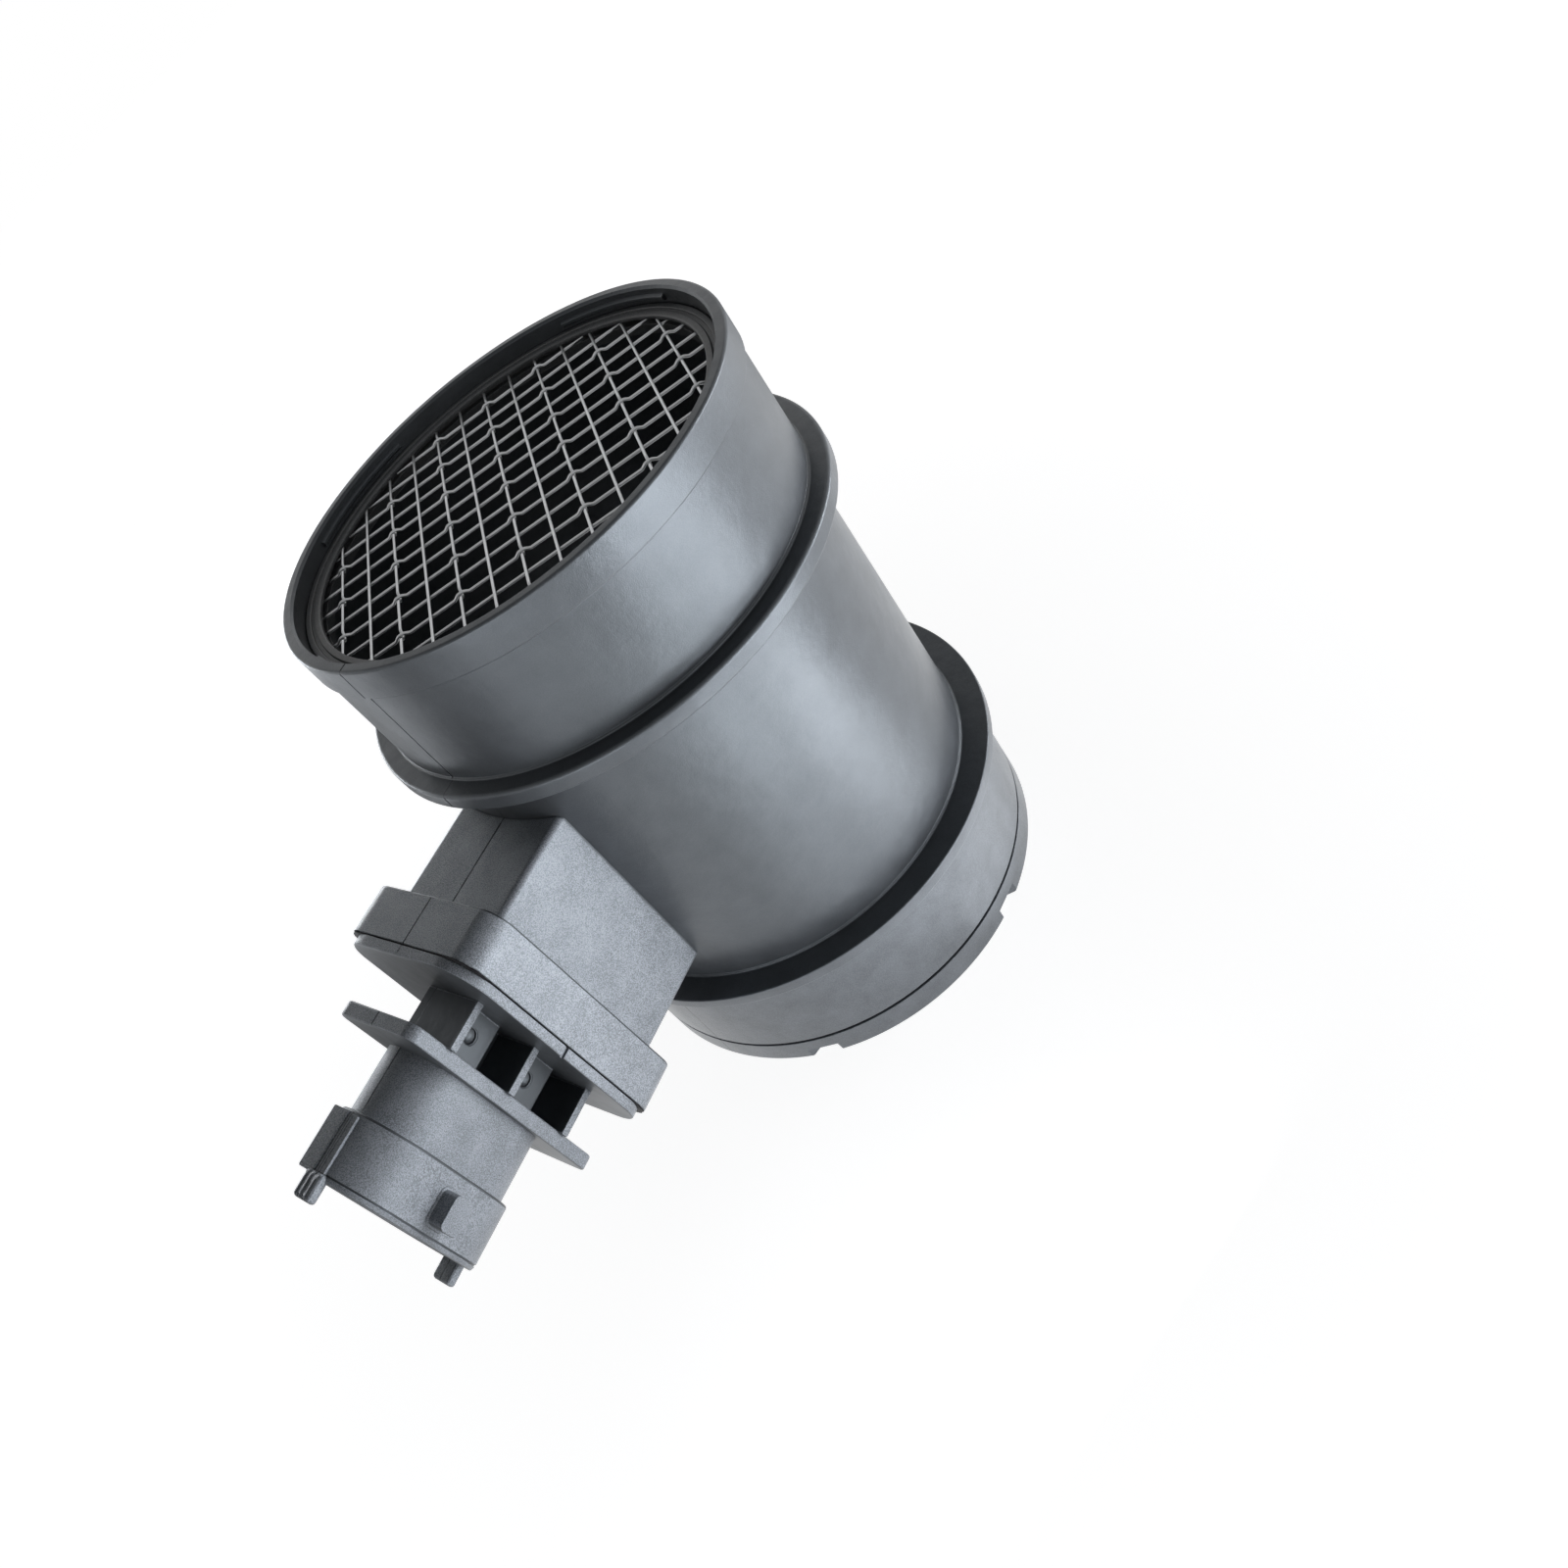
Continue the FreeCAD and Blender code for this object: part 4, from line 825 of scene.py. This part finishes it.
def stage():
    """A pale floor that stays white to the camera and keeps the object's soft shadow, with painted
    shade in its glow near the object's foot.

    What gloss sees of it glows too, brighter in front of the object, and the part behind the object
    glows little, which is a painted shadow.
    """
    reach = 3000
    floor = block("floor", (-reach, reach), (-reach, reach), (-20, -0.05), 0)
    material = bpy.data.materials.new("floor_white")
    material.use_nodes = True
    tree = material.node_tree
    tree.nodes.clear()
    rays = add_node(tree, "ShaderNodeLightPath").outputs
    direct = maths(tree, "MAXIMUM", rays["Is Camera Ray"], rays["Is Transmission Ray"])
    seen = maths(tree, "MAXIMUM", direct, rays["Is Glossy Ray"])
    place = add_node(tree, "ShaderNodeTexCoord").outputs["Object"]
    grain = texture(tree, place, 900.0)
    pale = tint(tree, grain, (0.76, 0.76, 0.76), (0.82, 0.82, 0.82))
    matt = add_node(tree, "ShaderNodeBsdfDiffuse", {"Color": pale})
    shaded = add_node(tree, "ShaderNodeBsdfDiffuse", {"Color": (0.45, 0.45, 0.45, 1)})
    away = add_node(tree, "ShaderNodeVectorMath", {0: place}, operation="LENGTH").outputs["Value"]
    # Painted shade: the glow that the camera sees dims near the object's foot.
    glow_with_painted_shade = spread(tree, away, 0.05, 0.25, 0.88, 0.99)
    behind = add_node(tree, "ShaderNodeSeparateXYZ", {0: place}).outputs["Y"]
    # Painted light and shadow: what gloss sees glows brighter in front of the object and dims
    # behind it.
    gloss_glow_with_painted_shadow = spread(tree, behind, 0.02, 0.08, 1.2, 0.2)
    strength = add_node(tree, "ShaderNodeMix",
                        {0: direct, 2: gloss_glow_with_painted_shadow, 3: glow_with_painted_shade}).outputs[0]
    glow = add_node(tree, "ShaderNodeEmission", {"Strength": strength})
    shown = add_node(tree, "ShaderNodeAddShader", {0: shaded.outputs[0], 1: glow.outputs[0]})
    both = add_node(tree, "ShaderNodeMixShader", {0: seen, 1: matt.outputs[0], 2: shown.outputs[0]})
    output = add_node(tree, "ShaderNodeOutputMaterial")
    tree.links.new(both.outputs[0], output.inputs["Surface"])
    floor.data.materials.append(material)


def world():
    """White at the horizon for what the camera and gloss see, a dim ceiling, a dim fill."""
    scene_world = bpy.data.worlds.new("studio")
    bpy.context.scene.world = scene_world
    scene_world.use_nodes = True
    tree = scene_world.node_tree
    tree.nodes.clear()
    rays = add_node(tree, "ShaderNodeLightPath").outputs
    direct = maths(tree, "MAXIMUM", rays["Is Camera Ray"], rays["Is Transmission Ray"])
    gloss = rays["Is Glossy Ray"]
    direction = add_node(tree, "ShaderNodeTexCoord").outputs["Generated"]
    height = add_node(tree, "ShaderNodeSeparateXYZ", {0: direction}).outputs["Z"]
    ceiling = spread(tree, height, 0.05, 0.8, 1.2, 0.25)
    fill = spread(tree, height, 0.0, 0.4, 0.2, 0.03)
    others = add_node(tree, "ShaderNodeMix", {0: gloss, 2: fill, 3: ceiling}).outputs[0]
    strength = add_node(tree, "ShaderNodeMix", {0: direct, 2: others, 3: 1.0}).outputs[0]
    background = add_node(tree, "ShaderNodeBackground",
                          {"Color": (1, 1, 1, 1), "Strength": strength})
    output = add_node(tree, "ShaderNodeOutputWorld")
    tree.links.new(background.outputs[0], output.inputs["Surface"])


def lamp(name, place, target, size, power):
    """A soft box at a place, aimed at a target, both in millimetres."""
    light = bpy.data.lights.new(name, "AREA")
    light.shape = "RECTANGLE"
    light.size, light.size_y = size
    light.energy = power
    light.color = (0.93, 0.96, 1.0)
    holder = bpy.data.objects.new(name, light)
    holder.location = Vector(place) * MM
    away = Vector(place) - Vector(target)
    holder.rotation_euler = away.to_track_quat("Z", "Y").to_euler()
    holder.visible_camera = False
    bpy.context.scene.collection.objects.link(holder)


# Soft boxes: name, place and target in millimetres, size in metres, power in watts. The ones named
# after a place on the floor lie where the object's sides mirror them to the camera.
LAMPS = [
    ("strip", (20, -330, 12), (0, 0, 60), (0.30, 0.02), 0.38),
    ("left", (-420, -120, 20), (0, 0, 60), (0.30, 0.03), 0.42),
    ("left_near", (-75, -95, 18), (-50, -10, 70), (0.06, 0.03), 0.017),
    ("right", (420, -330, 30), (0, 0, 60), (0.30, 0.06), 1.5),
    ("above", (60, 60, 650), (0, 0, 60), (0.40, 0.40), 0.15),
    ("floor_far", (10, -260, 2), (10, -260, 100), (0.22, 0.07), 0.65),
    ("floor_barrel", (12, -110, 2), (12, -110, 100), (0.05, 0.05), 0.059),
    ("floor_inlet", (45, -168, 2), (45, -168, 100), (0.06, 0.06), 0.071),
    ("floor_middle", (-45, -130, 2), (-45, -130, 100), (0.05, 0.05), 0.044),
    ("floor_near", (10, -62, 2), (10, -62, 100), (0.04, 0.035), 0.005),
    ("floor_pedestal", (-35, -75, 2), (-35, -75, 100), (0.05, 0.05), 0.008),
    ("floor_back", (-140, 205, 2), (-140, 205, 100), (0.08, 0.15), 0.09),
    ("front", (-90, -520, 110), (-90, 0, 60), (0.20, 0.08), 0.2),
    ("rear", (40, 560, 60), (0, 0, 60), (0.50, 0.12), 1.3),
    ("floor_rear", (60, 350, 2), (60, 350, 100), (0.40, 0.16), 0.45),
]


def camera():
    """The camera that was fitted to the rings of the duct."""
    data = bpy.data.cameras.new("camera")
    data.sensor_width = 36.0
    data.lens = 29.308
    data.shift_x = 0.11396
    data.shift_y = -0.0308
    data.clip_start = 0.01
    right = Vector((0.47077, -0.68758, -0.55282))
    up = Vector((0.79005, 0.04966, 0.61103))
    back = Vector((-0.39268, -0.72441, 0.56661))
    matrix = Matrix((right, up, back)).transposed().to_4x4()
    matrix.translation = Vector((-0.102029, -0.156972, 0.188907))
    holder = bpy.data.objects.new("camera", data)
    holder.matrix_world = matrix
    bpy.context.scene.collection.objects.link(holder)
    bpy.context.scene.camera = holder


camera()
duct()
module()
sealant()
ring()
screen()
boxed_pieces()
terminals()
probe()
NODES["finger_seal"].data.materials.clear()
NODES["finger_seal"].data.materials.append(MATERIALS["seal_rubber"])
stage()
world()
for row in LAMPS:
    lamp(*row)
bpy.context.scene.view_settings.view_transform = "Standard"
